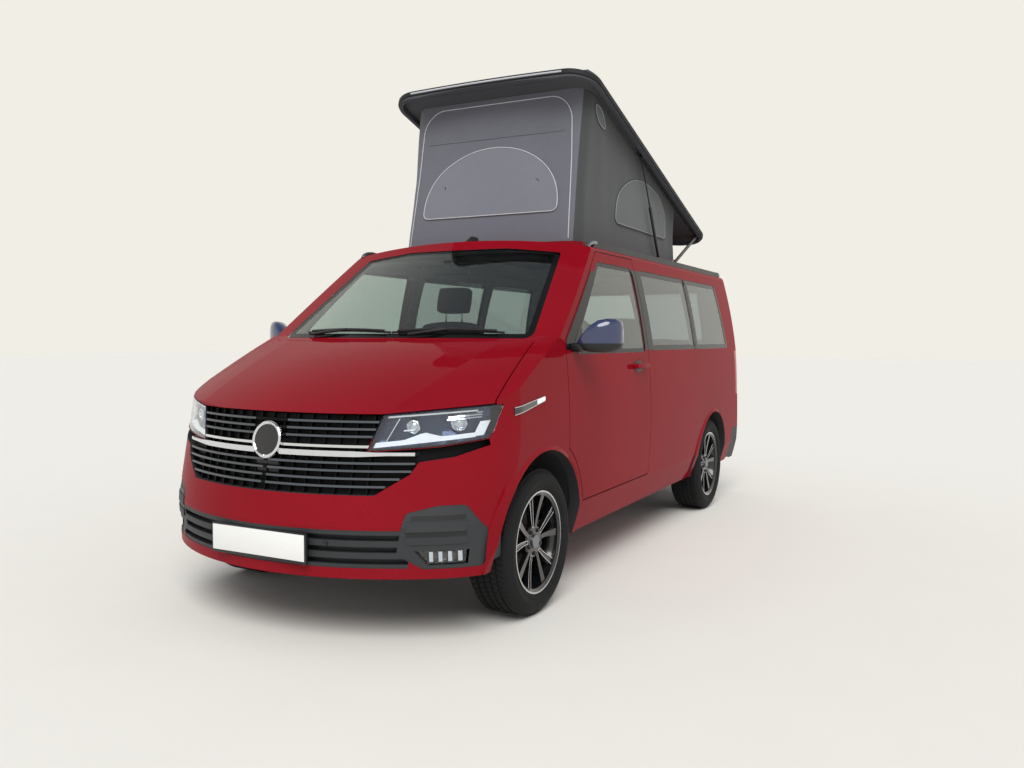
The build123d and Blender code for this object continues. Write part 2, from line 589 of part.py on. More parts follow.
def body_panels():
    """Painted panels, glass and lamps, cut from one hollow body."""
    outer = body_form(0)
    inner = body_form(WALL)
    skin = outer - inner
    sheet = body_form(GLASS_INSET) - body_form(GLASS_INSET + GLASS_T)

    arch = arches(FRONT_ARCH_R, REAR_ARCH_R, 300)
    doors = both(door_prism(SHUT))
    door_window = side_prism(DOOR_WINDOW, 600, 1000, WINDOW_R)
    side_windows = side_prism(MID_WINDOW, 600, FAR, WINDOW_R) + side_prism(REAR_WINDOW, 600, FAR, WINDOW_R)
    side_windows = both(side_windows)
    screen = front_prism(mirrored(SCREEN_GLASS), 600, 1600, 30)
    tail_window = front_prism(mirrored(TAIL_WINDOW), -2700, TAILGATE_INNER_X, WINDOW_R)
    lamp = both(front_prism(LAMP, 1780, 2600))
    mouth = front_prism(mirrored(GRILLE), 1780, 2600)
    pads = both(front_prism(CORNER_PAD, 1900, 2600, PAD_R))
    intake = front_prism(mirrored(LOWER_INTAKE), 1900, 2600) - pads
    fogs = both(front_prism(FOG_LAMP, 1900, 2600))
    lamps_rear = both(front_prism(TAIL_LAMP, -2700, -2150))
    gate_gap = tailgate_zone(SHUT)
    bonnet_gap = bonnet_zone(SHUT)
    bumper_rear = block(-2700, BUMPER_REAR_X, -1000, 1000, BODY_Z, BUMPER_REAR_Z)
    bumper_front = side_prism(BUMPER_FRONT, -1000, 1000)
    slide = slide_prism(0)
    slide_groove = (slide_prism(GROOVE / 2) - slide_prism(-GROOVE / 2)) & (outer - body_form(GROOVE_DEPTH))

    parts = {}
    side_zone = both(side_prism(SIDE_ZONE, 640, 1000) - block(-2700, 900, 600, DOOR_INNER_Y, 1700, 1900))
    flare = flares(outer)
    sides = (skin + flare) & side_zone
    sides = sides - arch - doors - side_windows - lamps_rear - gate_gap - bumper_rear - slide - slide_groove
    parts["body_sides"] = whole(sides)
    parts["sliding_door"] = whole((skin & slide) - side_windows - slide_groove)

    rim_of_well = plan_prism(rect_plan(TENT_FRONT, TENT_REAR, TENT_Y), ROOF_Z - 60, TENT_FOOT_Z, TENT_R)
    well = plan_prism(rect_plan(WELL_FRONT, WELL_REAR, WELL_Y), 1700, 2000, WELL_R)
    roof = (skin & block(-2700, 1000, -1000, 1000, ROOF_SPLIT, 1950)) - gate_gap - screen
    roof = (roof + (rim_of_well - outer)) - well
    for side in (1, -1):
        for x, z, y0, y1, p0, p1 in ROOF_EARS:
            ear = side_prism(((x - 45, 1800), (x - EAR_R, z), (x + EAR_R, z), (x + 45, 1800)), y0, y1)
            ear = (ear + rod_y(x, z, EAR_R, y0, y1)) - outer
            ear = ear + rod_y(x, z, PIN_R, p0, p1)
            roof = roof + (ear if side > 0 else mirror(ear, about=Plane.XZ))
    parts["roof_panel"] = whole(roof)

    rails = both(side_prism(RAIL_SIDE, 768, 790)) - outer
    parts["roof_rails"] = whole(rails)

    frame = skin & (side_prism(SCREEN_ZONE, -1000, 1000) + block(1300, 1650, -COWL_Y, COWL_Y, 1100, COWL_Z))
    frame = frame - doors - screen - bonnet_gap
    bulkhead = inner & block(BULKHEAD_X, BULKHEAD_X + 30, -1000, 1000, FLOOR_TOP - FLOOR_T, COWL_Z + 12)
    bulkhead = bulkhead - arches(FRONT_ARCH_R + LINER_T + 8, 10, LINER_Y)
    frame = frame + bulkhead
    parts["screen_frame"] = whole(frame)

    wings = (skin + flare) & both(side_prism(WING_ZONE, 300, FAR))
    wings = wings - block(1000, 1650, -COWL_Y, COWL_Y, 1000, 1400)
    wings = wings - arch - doors - bonnet_gap - lamp - mouth - bumper_front
    parts["front_wings"] = whole(wings, 100000.0)
    leaves = both(block(1380, 1470, 730, 775, 1200, 1400))
    leaves = ((bonnet_zone(SHUT - SEAT) - bonnet_zone(0)) & skin) & leaves
    parts["bonnet"] = whole((skin & bonnet_zone(0)) + leaves)

    doors_left = (skin & door_prism(0)) - door_window
    for z in HINGE_Z:
        doors_left = doors_left + block(DOOR_FRONT - 1, DOOR_FRONT + SHUT - SEAT, 903, 926, z - 35, z + 35)
    parts["door_left"] = whole(doors_left)
    parts["door_right"] = whole(mirror(doors_left, about=Plane.XZ))
    gate = (skin & tailgate_zone(0)) - tail_window
    for y in (-420, 420):
        gate = gate + block(-2300, -2262, y - 40, y + 40, TAILGATE_HEAD - 20, TAILGATE_HEAD + SHUT - SEAT)
    parts["tailgate"] = whole(gate)

    under = block(-2700, 2700, -1000, 1000, BODY_Z - 1, BODY_Z + WALL + 1)
    bumper = ((skin + flare) & bumper_front) - (nose_form(70) & under) - arch - lamp - mouth - intake - pads
    parts["front_bumper"] = whole(bumper)
    rear = (skin & bumper_rear) - (tail_form(70) & under) - arch
    parts["rear_bumper"] = whole(rear)

    parts.update(nose_pieces(lamp, mouth, intake, pads, fogs))
    parts["tail_lamps"] = whole((skin & lamps_rear) & tail_form(2))

    pane = screen_form(GLASS_INSET) - screen_form(GLASS_INSET + GLASS_T)
    parts["windscreen"] = whole(pane & screen)
    parts["door_glass_left"] = whole(sheet & door_window)
    parts["door_glass_right"] = whole(mirror(sheet & door_window, about=Plane.XZ))
    parts["side_glass"] = whole(sheet & side_windows)
    parts["tailgate_glass"] = whole(sheet & tail_window)
    return parts, inner


def floor_pieces(inner):
    """Floor, wheel arch liners and what hangs under the floor."""
    parts = {}
    floor = inner & block(TAIL_FLOOR_X, BULKHEAD_X, -FAR, FAR, FLOOR_TOP - FLOOR_T, FLOOR_TOP)
    boxes = arches(FRONT_ARCH_R + LINER_T + LINER_GAP, REAR_ARCH_R + LINER_T + LINER_GAP, LINER_Y)
    keep = both(block(-2000, -900, LINER_Y - 1, REAR_LINER_Y, 300, 900))
    floor = floor - (boxes - keep)
    parts["floor_pan"] = whole(floor)

    liner = Part()
    for x, radius, y0 in ((FRONT_AXLE_X, FRONT_ARCH_R + LINER_GAP, LINER_Y),
                          (REAR_AXLE_X, REAR_ARCH_R + LINER_GAP, REAR_LINER_Y)):
        ring = eye(x, TYRE_R, radius + LINER_T, radius, y0, FAR)
        low = block(x - 600, x + 600, 0, FAR, 0, LINER_WALL_Z)
        wall = rod_y(x, TYRE_R, radius, y0, y0 + LINER_T) - low
        room = block(x - 600, x + 600, 0, FAR, LINER_FOOT_Z, FAR)
        liner = liner + ((ring + wall) & inner & room)
    parts["arch_liners"] = whole(both(liner))

    tank = rounded(*TANK, FLOOR_TOP - FLOOR_T, TANK_R)
    parts["fuel_tank"] = whole(tank)
    ends = [(x, EXHAUST_Z) for x in EXHAUST_FRONT]
    pipe = tube(*ends, EXHAUST_FRONT_R, EXHAUST_Y)
    ends = [(x, EXHAUST_Z) for x in EXHAUST_REAR]
    pipe = pipe + tube(*ends, EXHAUST_REAR_R, EXHAUST_Y)
    x0, x1, half, z0, z1 = SILENCER
    pipe = pipe + rounded(x0, x1, EXHAUST_Y - half, EXHAUST_Y + half, z0, z1, 40)
    for x in HANGER_X:
        pipe = pipe + block(x - HANGER_HALF, x + HANGER_HALF, EXHAUST_Y - HANGER_HALF, EXHAUST_Y + HANGER_HALF,
                            EXHAUST_Z + 10, FLOOR_TOP - FLOOR_T)
    parts["exhaust"] = whole(pipe)
    return parts


def wheel_pieces():
    """Tyre and rim about the Y axis at the origin, outer face towards +Y."""
    half = TYRE_W / 2
    bead = RIM_R + SEAT
    # outer and inner outline of the tyre: radius, y
    lip = RIM_W / 2
    crown = [(bead, lip - 14 - 2 * SEAT), (RIM_LIP_R + SEAT, lip - 8 - 2 * SEAT), (RIM_LIP_R + 6, lip + 2),
             (RIM_LIP_R + 40, half), (TYRE_R - 28, half - 6), (TYRE_R - 6, half - 22), (TYRE_R, half - 36)]
    cavity = [(TYRE_R - 18, half - 40), (TYRE_R - 40, half - 22), (RIM_LIP_R + 40, half - 14),
              (bead + 14, lip - 26), (bead, lip - 40)]
    inboard = [(r, -y) for r, y in reversed(crown)] + [(r, -y) for r, y in reversed(cavity)]
    profile = crown + inboard + cavity
    tyre = revolve(Plane.XY * polygon(profile), axis=Axis.Y)

    barrel = [(RIM_LIP_R, lip), (RIM_LIP_R, lip - 8), (RIM_R, lip - 14), (RIM_R, lip - 44),
              (RIM_R - 16, lip - 62), (RIM_R - 16, -lip + 62), (RIM_R, -lip + 44), (RIM_R, -lip + 14),
              (RIM_LIP_R, -lip + 8), (RIM_LIP_R, -lip), (RIM_LIP_R - 10, -lip), (RIM_R - 10, -lip + 24),
              (RIM_R - 26, -lip + 62), (RIM_R - 26, lip - 62), (RIM_R - 10, lip - 34), (RIM_R - 6, lip - 6),
              (RIM_LIP_R - 8, lip)]
    rim = revolve(Plane.XY * polygon(barrel), axis=Axis.Y)
    face = Plane((0, SPOKE_Y + SPOKE_T, 0), x_dir=(1, 0, 0), z_dir=(0, -1, 0))
    hub = extrude(face * Circle(HUB_R), amount=SPOKE_T)
    for k in range(SPOKE_PAIRS):
        for side in (-1, 1):
            turn = 90 + 360 / SPOKE_PAIRS * k
            blade = polygon(((SPOKE_FROM_R, side * SPOKE_ROOT[0]), (SPOKE_TO_R, side * SPOKE_TIP[0]),
                             (SPOKE_TO_R, side * SPOKE_TIP[1]), (SPOKE_FROM_R, side * SPOKE_ROOT[1])))
            hub = hub + extrude(face * (Rot(0, 0, turn) * blade), amount=SPOKE_T)
    hole = Location((BOLT_CIRCLE_R, 0, 0)) * Circle(BOLT_HOLE_R)
    step = 360 / BOLTS
    turns = [90 + step * (k + 0.5) for k in range(BOLTS)]
    hub = hub - [extrude(face * (Rot(0, 0, turn) * hole), amount=SPOKE_T) for turn in turns]
    hub = hub - rod_y(0, 0, HUB_BORE_R, SPOKE_Y - 1, SPOKE_Y + SPOKE_T - 10)
    return tyre, rim + hub


def hub_shape(spigot):
    """Hub, disc and flange about the Y axis at the origin, for a wheel on the left."""
    shape = rod_y(0, 0, 62, -110, SPOKE_Y - SEAT) + rod_y(0, 0, DISC_R, -14, 12)
    shape = shape + rod_y(0, 0, 76, SPOKE_Y - 16, SPOKE_Y - SEAT)
    return shape + rod_y(0, 0, spigot, SPOKE_Y - 1, SPOKE_Y + SPOKE_T - 14)


def running_gear():
    """Wheels, knuckles, rear axle and front suspension."""
    parts = {}
    tyre, rim = wheel_pieces()
    for name, x, side in (("front_left", FRONT_AXLE_X, 1), ("front_right", FRONT_AXLE_X, -1),
                          ("rear_left", REAR_AXLE_X, 1), ("rear_right", REAR_AXLE_X, -1)):
        for piece, shape in (("tyre", tyre), ("rim", rim)):
            placed = Location((x, WHEEL_Y, TYRE_R)) * shape
            parts[piece + "_" + name] = whole(placed if side > 0 else mirror(placed, about=Plane.XZ))

    spigot = HUB_BORE_R - HUB_FIT
    knuckle = Location((FRONT_AXLE_X, WHEEL_Y, TYRE_R)) * hub_shape(spigot)
    x = FRONT_AXLE_X
    upright = rounded(x - 34, x + 34, STEER_Y - 30, STEER_Y + 30, BALL_LOW_Z, BALL_HIGH_Z, 10)
    knuckle = knuckle + upright + rod_z(x, STEER_Y, BALL_R, BALL_LOW_Z - 22, BALL_HIGH_Z + 22)
    caliper = (Location((FRONT_AXLE_X, WHEEL_Y, TYRE_R)) * eye(0, 0, 176, 96, -34, 32))
    caliper = caliper & block(x - 200, x - 90, WHEEL_Y - 40, WHEEL_Y + 40, TYRE_R - 70, TYRE_R + 70)
    link = block(x - 130, x - 20, STEER_Y - 20, WHEEL_Y - 10, TYRE_R - 30, TYRE_R + 30)
    knuckle = knuckle + caliper + (link - rod_y(x, TYRE_R, 40, 0, FAR))
    parts["knuckle_left"] = whole(knuckle)
    parts["knuckle_right"] = whole(mirror(knuckle, about=Plane.XZ))

    axle = Location((REAR_AXLE_X, WHEEL_Y, TYRE_R)) * hub_shape(spigot)
    axle = axle + rod_y(REAR_AXLE_X, TYRE_R, 42, -10, WHEEL_Y - 60)
    pivot = (REAR_AXLE_X + TRAIL[0], TRAIL[1])
    under = FLOOR_TOP - FLOOR_T
    axle = axle + bar((REAR_AXLE_X, TYRE_R), pivot, 70, *TRAIL_Y)
    axle = axle + block(pivot[0] - 90, pivot[0], TRAIL_Y[0] - 5, TRAIL_Y[1] + 5, 340, under)
    spring = rod_z(REAR_AXLE_X - SPRING_BACK, TRAIL_Y[0], SPRING_R, 330, under)
    shock = (REAR_AXLE_X - SHOCK_FOOT[0], SHOCK_FOOT[1])
    axle = axle + spring + bar((REAR_AXLE_X, TYRE_R), shock, 40, 480, 560)
    parts["rear_axle"] = whole(axle + mirror(axle, about=Plane.XZ))

    end = STEER_Y + 26
    arm = plan_prism(((x - 190, WISHBONE_Y), (x + 90, WISHBONE_Y), (x + 34, end), (x - 34, end)),
                     BALL_LOW_Z - 36, BALL_LOW_Z - SEAT)
    arm = arm - rod_z(x, STEER_Y, BALL_R + PIN_FIT, 0, BALL_LOW_Z)
    rail = block(BULKHEAD_X + 30, RAIL_FRONT_X, *FRONT_RAIL_Y, *FRONT_RAIL_Z)
    inboard = FRONT_RAIL_Y[0]
    rail = rail + block(x - 210, x + 110, inboard - 60, inboard, BALL_LOW_Z - 40, FRONT_RAIL_Z[1])
    root = FRONT_RAIL_Y[1] - 5
    top = plan_prism(((x - 60, root), (x + 60, root), (x + 30, end), (x - 30, end)),
                     BALL_HIGH_Z + SEAT, BALL_HIGH_Z + 34)
    top = top - rod_z(x, STEER_Y, BALL_R + PIN_FIT, 0, 800)
    dome = rod_y(x, TYRE_R, FRONT_ARCH_R + LINER_GAP - SEAT, 500, 700)
    leg = rod_z(x, STRUT_LEG_Y, STRUT_LEG_R, BALL_HIGH_Z + 4, 900) & dome
    side = arm + rail + top + leg
    reach = inboard - 55
    cross = block(x - 180, x + 80, -reach, reach, BALL_LOW_Z - 30, BALL_LOW_Z + 40)
    parts["front_suspension"] = whole(side + mirror(side, about=Plane.XZ) + cross)

    x0, x1, half, high = ENGINE
    engine = rounded(x0, x1, -half, half, BALL_LOW_Z + 60, high, 30)
    x0, x1, half, z0, z1 = ENGINE_MOUNT
    engine = engine + block(x0, x1, -half, half, z0, z1)
    parts["engine_block"] = whole(engine)
    return parts


def interior(inner):
    """Dashboard, steering wheel, seats and the galley cupboard seen through the glass."""
    parts = {}
    profile = ((BULKHEAD_X, DASH_LOW_Z), (BULKHEAD_X, DASH_TOP_Z), *DASH_FACE)
    dash = side_prism(profile, -DASH_Y, DASH_Y)
    dash = dash + side_prism(DASH_HOOD, HELM_Y - DASH_HOOD_HALF, HELM_Y + DASH_HOOD_HALF)
    way = Vector(HELM_WAY).normalized()
    seat = Plane(HELM, z_dir=way)
    dash = dash + extrude(seat.offset(HELM_HUB[1] + SEAT) * Circle(HELM_COLUMN_R), amount=HELM_COLUMN)
    parts["dashboard"] = whole(dash)

    wheel = seat * Torus(HELM_R, HELM_RIM_R)
    wheel = wheel + extrude(seat.offset(HELM_HUB[0]) * Circle(HELM_HUB_R), amount=HELM_HUB[1] - HELM_HUB[0])
    for turn in (0, 180, 270):
        spoke = Location((HELM_R / 2, 0, 0)) * Rectangle(HELM_R, HELM_SPOKE_W)
        spoke = seat.offset(HELM_SPOKE[0]) * (Rot(0, 0, turn + 90) * spoke)
        wheel = wheel + extrude(spoke, amount=HELM_SPOKE[1] - HELM_SPOKE[0])
    parts["steering_wheel"] = whole(wheel)

    seats = Part()
    for y in (HELM_Y, -HELM_Y):
        x0, x1, half, top = CHAIR_BASE
        chair = rounded(x0, x1, y - half, y + half, FLOOR_TOP, top, SEAT_BASE_R)
        x0, x1, half, z0, z1 = CHAIR_PAD
        chair = chair + rounded(x0, x1, y - half, y + half, z0, z1, PAD_ROUND)
        back = side_prism(CHAIR_BACK, y - CHAIR_BACK_HALF, y + CHAIR_BACK_HALF, BACK_ROUND)
        head = side_prism(CHAIR_HEAD, y - CHAIR_HEAD_HALF, y + CHAIR_HEAD_HALF, HEAD_ROUND)
        near, far = CHAIR_POST_Y
        posts = bar(*CHAIR_POST, CHAIR_POST_W, y - far, y - near)
        posts = posts + bar(*CHAIR_POST, CHAIR_POST_W, y + near, y + far)
        seats = seats + chair + back + head + posts
    x0, x1, y0, y1, top = BENCH_BASE
    bench = rounded(x0, x1, y0, y1, FLOOR_TOP, top, SEAT_BASE_R) + rounded(*BENCH_PAD, PAD_ROUND)
    bench = bench + side_prism(BENCH_BACK, BENCH_PAD[2], BENCH_PAD[3], BACK_ROUND)
    parts["seats"] = whole(seats + bench)

    galley = inner & block(*GALLEY_X, GALLEY_Y, FAR, FLOOR_TOP, GALLEY_TOP)
    galley = galley - rod_y(REAR_AXLE_X, TYRE_R, REAR_ARCH_R + LINER_GAP + LINER_T + 2, 0, FAR)
    parts["galley"] = whole(galley)
    return parts


def mirror_shape():
    """Door mirror on the left, foot on the door and head beside it."""
    foot = block(1110, 1190, 890, 1012, 1236, 1268) - body_form(0)
    head = plan_prism(MIRROR_PLAN, MIRROR_Z[0], MIRROR_Z[1], MIRROR_R)
    rims = head.faces().sort_by(Axis.Z)
    head = fillet(rims[0].edges() + rims[-1].edges(), MIRROR_R - 4)
    return foot + head


def lid_form(inset, foot):
    """Raised roof shell as it lies when shut, moved inwards by inset, from foot upwards."""
    half = LID_Y - inset
    shoulder = LID_Z + LID_LIP - 0.6 * inset
    top = LID_TOP - inset
    line = Polyline((0, foot), (half, foot), (half, shoulder))
    arc = ThreePointArc((half, shoulder), (0.6 * half, top - 18), (0, top))
    curve = line + arc
    outline = make_face(curve.edges() + mirror(curve, about=Plane.YZ).edges())
    cross = extrude(at_x(-2700) * outline, amount=4000)
    nose = LID_FRONT - inset
    tail = LID_REAR + inset
    plan = plan_prism(rect_plan(nose, tail, half), 1700, 2100, LID_CORNER_R - inset)
    shoulder = LID_Z + 68 - inset
    side = side_prism(((nose, 1700), (nose, LID_Z + 24 - 0.5 * inset), (nose - 70, shoulder),
                       (nose - 270, top - 14), (nose - 620, top + 1), (tail + 460, top + 1),
                       (tail + 160, top - 14), (tail + 28, shoulder),
                       (tail, LID_Z + 30 - 0.5 * inset), (tail, 1700)), -FAR, FAR)
    return cross & plan & side


def raised(shape):
    """Move a piece of the shut roof to its raised place."""
    turn = Location((ARM_HEAD[0], 0, ARM_HEAD[1])) * Rot(0, -ROOF_TILT, 0)
    return turn * Location((-ARM_HEAD_SHUT[0], 0, -ARM_HEAD_SHUT[1])) * shape


def shut_point(point):
    """Place that a point of the raised roof has when the roof is shut."""
    dx = point[0] - ARM_HEAD[0]
    dz = point[1] - ARM_HEAD[1]
    c = cos(radians(ROOF_TILT))
    s = sin(radians(ROOF_TILT))
    return (ARM_HEAD_SHUT[0] + dx * c + dz * s, ARM_HEAD_SHUT[1] - dx * s + dz * c)


def tent_loft(inset):
    """Fabric's outline between the rim of the roof opening and the raised board."""
    half = TENT_Y - inset
    radius = TENT_R - inset
    foot = polygon(rect_plan(TENT_FRONT - inset, TENT_REAR + inset, half), radius)
    head = polygon(rect_plan(TENT_HEAD_FRONT - inset, TENT_HEAD_REAR + inset, half), radius)
    low = Location((0, 0, TENT_FOOT_Z + SEAT)) * foot
    return loft([low, raised(Location((0, 0, LINER_Z - SEAT)) * head)], ruled=True)


def pop_roof():
    """Raised shell, fabric walls, rear arms and gas struts."""
    parts = {}
    inner_half = LID_Y - LID_WALL
    shell = lid_form(0, LID_Z) - lid_form(LID_WALL, 1700)
    over = LINER_Z + BOARD_T
    board = block(*BOARD_X, -BOARD_Y, BOARD_Y, LINER_Z, over)
    board = board + block(BOARD_NOSE_X, 600, -FAR, FAR, LINER_Z, over)
    shell = shell + (board & lid_form(LID_WALL - 1, 1700))
    # room for the fixed roof's crown and, along both sides, for the folded arms and struts
    shell = shell - cross_form(-LID_GAP)
    shell = shell - both(block(CHANNEL_X[0], CHANNEL_X[1], CHANNEL_Y, inner_half + 1, 1800, CHANNEL_TOP))
    stud = shut_point(STRUT_HEAD)
    pins = rod_y(ARM_HEAD_SHUT[0], ARM_HEAD_SHUT[1], PIN_R, 662, inner_half + 2)
    pins = pins + rod_y(stud[0], stud[1], 10, STRUT_Y + STRUT_R + SEAT, inner_half + 2)
    shell = shell + pins + mirror(pins, about=Plane.XZ)
    parts["roof_shell"] = whole(raised(shell))
    parts["roof_tent"] = whole(tent_loft(0) - tent_loft(TENT_WALL))

    y0 = ARM_Y - ARM_T / 2
    y1 = ARM_Y + ARM_T / 2
    arm = bar(ARM_FOOT, ARM_HEAD, ARM_W, y0, y1)
    for x, z in (ARM_FOOT, ARM_HEAD):
        arm = arm + rod_y(x, z, EAR_R + 1, y0, y1)
    for x, z in (ARM_FOOT, ARM_HEAD):
        arm = arm - rod_y(x, z, PIN_R + PIN_FIT, y0 - 1, y1 + 1)
    parts["roof_arms"] = whole(arm + mirror(arm, about=Plane.XZ))

    run = (STRUT_HEAD[0] - STRUT_FOOT[0], STRUT_HEAD[1] - STRUT_FOOT[1])
    length = hypot(*run)
    way = (run[0] / length, run[1] / length)

    def along(distance):
        return (STRUT_FOOT[0] + way[0] * distance, STRUT_FOOT[1] + way[1] * distance)

    case = tube(along(10), along(STRUT_CASE), STRUT_R, STRUT_Y)
    case = case + rod_y(*STRUT_FOOT, 14, STRUT_Y - 8, STRUT_Y + 8)
    case = case - rod_y(*STRUT_FOOT, PIN_R + PIN_FIT, 0, FAR)
    case = case - tube(along(14), along(STRUT_CASE + 5), STRUT_ROD_R + 0.5, STRUT_Y)
    rod = tube(along(length - STRUT_ROD), along(length), STRUT_ROD_R, STRUT_Y)
    rod = rod + rod_y(*STRUT_HEAD, 12, STRUT_Y - 6, STRUT_Y + STRUT_R)
    parts["strut_cases"] = whole(case + mirror(case, about=Plane.XZ))
    parts["strut_rods"] = whole(rod + mirror(rod, about=Plane.XZ))
    return parts


def build():
    parts, inner = body_panels()
    parts.update(floor_pieces(inner))
    parts.update(running_gear())
    parts.update(interior(inner))
    left = mirror_shape()
    parts["mirror_left"] = whole(left)
    parts["mirror_right"] = whole(mirror(left, about=Plane.XZ))
    parts.update(pop_roof())
    return parts


if __name__ == "__main__":
    os.makedirs("parts", exist_ok=True)
    for name, shape in build().items():
        export_step(shape, "parts/" + name + ".step")
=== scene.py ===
"""Camper van with a raised pop-up roof: finishes, lamps, wheels, tent and trim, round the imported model."""

from math import copysign, cos, hypot, pi, radians, sin, sqrt, tan

import bmesh
import bpy
from bpy.props import FloatProperty, FloatVectorProperty, IntProperty, PointerProperty
from mathutils import Matrix, Vector, noise
from mathutils.bvhtree import BVHTree


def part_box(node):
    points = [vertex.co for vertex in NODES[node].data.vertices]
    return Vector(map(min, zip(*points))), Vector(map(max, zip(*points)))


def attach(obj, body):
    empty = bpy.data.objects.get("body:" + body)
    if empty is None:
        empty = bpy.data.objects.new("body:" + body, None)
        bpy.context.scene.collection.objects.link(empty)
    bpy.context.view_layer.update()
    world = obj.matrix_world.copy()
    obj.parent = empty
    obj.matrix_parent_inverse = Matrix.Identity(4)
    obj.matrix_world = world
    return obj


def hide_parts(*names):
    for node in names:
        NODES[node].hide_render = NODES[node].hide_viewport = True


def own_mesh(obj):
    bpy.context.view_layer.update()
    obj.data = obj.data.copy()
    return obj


bl_info = {
    "name": "Camper Van Dressing",
    "version": (1, 0, 0),
    "blender": (4, 5, 0),
    "location": "View3D > Sidebar > Camper",
    "description": "Finishes and soft and small pieces of a camper van with a pop-up roof",
    "category": "Object",
}

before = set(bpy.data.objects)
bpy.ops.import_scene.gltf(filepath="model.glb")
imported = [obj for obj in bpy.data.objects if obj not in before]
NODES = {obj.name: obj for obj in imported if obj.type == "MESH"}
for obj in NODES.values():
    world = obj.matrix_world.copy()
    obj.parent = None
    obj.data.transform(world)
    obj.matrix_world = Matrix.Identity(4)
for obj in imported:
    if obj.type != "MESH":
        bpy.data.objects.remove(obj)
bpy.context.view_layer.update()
MM = 0.001
SIDES = (("left", 1.0), ("right", -1.0))
WHEELS = (("front_left", 1.0), ("front_right", -1.0), ("rear_left", 1.0), ("rear_right", -1.0))
FORWARD = Vector((1, 0, 0))
LEFT = Vector((0, 1, 0))
UP = Vector((0, 0, 1))
RAY_START = 3.0   # how far off the place that it aims at a ray starts
HALF_VAN = 2.9    # reach of a ray from RAY_START that stays on its own side of the van

# Roof linkage, as in the part: raised board tilted nose up about the rear arm's head
ROOF_TILT = radians(16.46)
ARM_HEAD = Vector((-1.898, 0, 2.150))
ARM_HEAD_SHUT = Vector((-1.950, 0, 1.876))
TENT_FOOT_Z = 1.8864
TENT_HEAD_Z = 1.8956
TENT_FOOT = (0.452, -1.515, 0.622, 0.105)   # front x, rear x, half width, corner radius
TENT_HEAD = (0.345, -1.540, 0.622, 0.105)


def linear(code):
    """Linear colour, with alpha 1, of an sRGB hex value."""
    parts = [int(code[i:i + 2], 16) / 255 for i in (0, 2, 4)]
    return tuple(c / 12.92 if c <= 0.04045 else ((c + 0.055) / 1.055) ** 2.4 for c in parts) + (1.0,)


def colour(label, words, code):
    """Colour property with its default from a hex value."""
    return FloatVectorProperty(name=label, description=words, subtype="COLOR", size=4, min=0, max=1,
                               default=linear(code))


def length(label, words, metres):
    """Length property in metres."""
    return FloatProperty(name=label, description=words, default=metres, min=0, unit="LENGTH", precision=4)


def count(label, words, usual, least, most):
    """Count property."""
    return IntProperty(name=label, description=words, default=usual, min=least, max=most)


class CamperColours(bpy.types.PropertyGroup):
    """Colours that a user would change."""
    body: colour("Body paint", "Metallic red of the panels", "800B18")
    flake: colour("Paint flake", "Brighter flakes in the red", "9C1426")
    lining: colour("Cabin lining", "Cloth on the roof and pillars inside", "A9A69E")
    trim: colour("Cabin trim", "Moulded lower trim inside", "3A3A3C")
    plastic: colour("Bumper plastic", "Grained plastic of bumper band and pads", "2C2F32")
    # the tent's front and side tones stand for one cloth: the front ones are lighter as painted light, the
    # side ones darker as painted shade
    lit_front_cloth: colour("Tent front", "Cloth of the tent's front panel", "74757F")
    shaded_side_cloth: colour("Tent sides", "Cloth of the tent's sides and back", "4A4D4E")
    lit_front_window_cloth: colour("Tent window", "Cloth of the front half-moon window", "83858F")
    shaded_side_window_cloth: colour("Tent side window", "Cloth of the side windows", "626868")
    piping: colour("Piping", "Sewn edge cord of the tent", "D5D8DD")
    mirror_cap: colour("Mirror cap", "Dark blue gloss cap", "27345C")
    seat: colour("Seat cloth", "Woven cloth of the seats", "4A4B50")
    floor: colour("Studio floor", "Floor and backdrop", "F1EEE6")


class CamperSizes(bpy.types.PropertyGroup):
    """Sizes and counts that a user would change."""
    tread_depth: length("Tread depth", "Depth of the tyre's grooves", 0.0075)
    tread_pitches: count("Tread pitches", "Tread blocks round a tyre", 76, 24, 120)
    spoke_pairs: count("Spoke pairs", "Twin spokes of a rim", 5, 3, 9)
    piping_radius: length("Piping radius", "Half thickness of the tent's sewn cord", 0.0030)
    fold_depth: length("Fold depth", "Depth of the folds in the tent's cloth", 0.010)
    plate_width: length("Plate width", "Width of the blank plate", 0.520)
    plate_height: length("Plate height", "Height of the blank plate", 0.112)
    frit_width: length("Glass border", "Width of the black border printed on the glass", 0.024)
    wiper_length: length("Wiper length", "Length of a windscreen wiper blade", 0.620)
    handle_length: length("Handle length", "Length of a door handle", 0.205)


def chosen():
    """The scene's colours and sizes."""
    return bpy.context.scene.camper_colours, bpy.context.scene.camper_sizes


# Materials

FINISHES = {}


def add(tree, kind, inputs=None, **settings):
    """Shader node of a kind with its settings, its sockets filled or linked."""
    made = tree.nodes.new("ShaderNode" + kind)
    for key, value in settings.items():
        setattr(made, key, value)
    for socket, value in (inputs or {}).items():
        if isinstance(value, bpy.types.NodeSocket):
            tree.links.new(value, made.inputs[socket])
        else:
            made.inputs[socket].default_value = value
    return made


def blank(name, **sockets):
    """New material with its tree, its shader and its coordinates."""
    made = bpy.data.materials.new(name)
    made.use_nodes = True
    tree = made.node_tree
    shader = tree.nodes["Principled BSDF"]
    for socket, value in sockets.items():
        shader.inputs[socket.replace("_", " ")].default_value = value
    FINISHES[name] = made
    return tree, shader, add(tree, "TexCoord")


def plug(tree, shader, sources):
    """Outputs linked to the shader's sockets."""
    for socket, source in sources.items():
        tree.links.new(source, shader.inputs[socket])


def darker(rgba, share):
    """Colour times a share."""
    return tuple(c * share for c in rgba[:3]) + (1.0,)


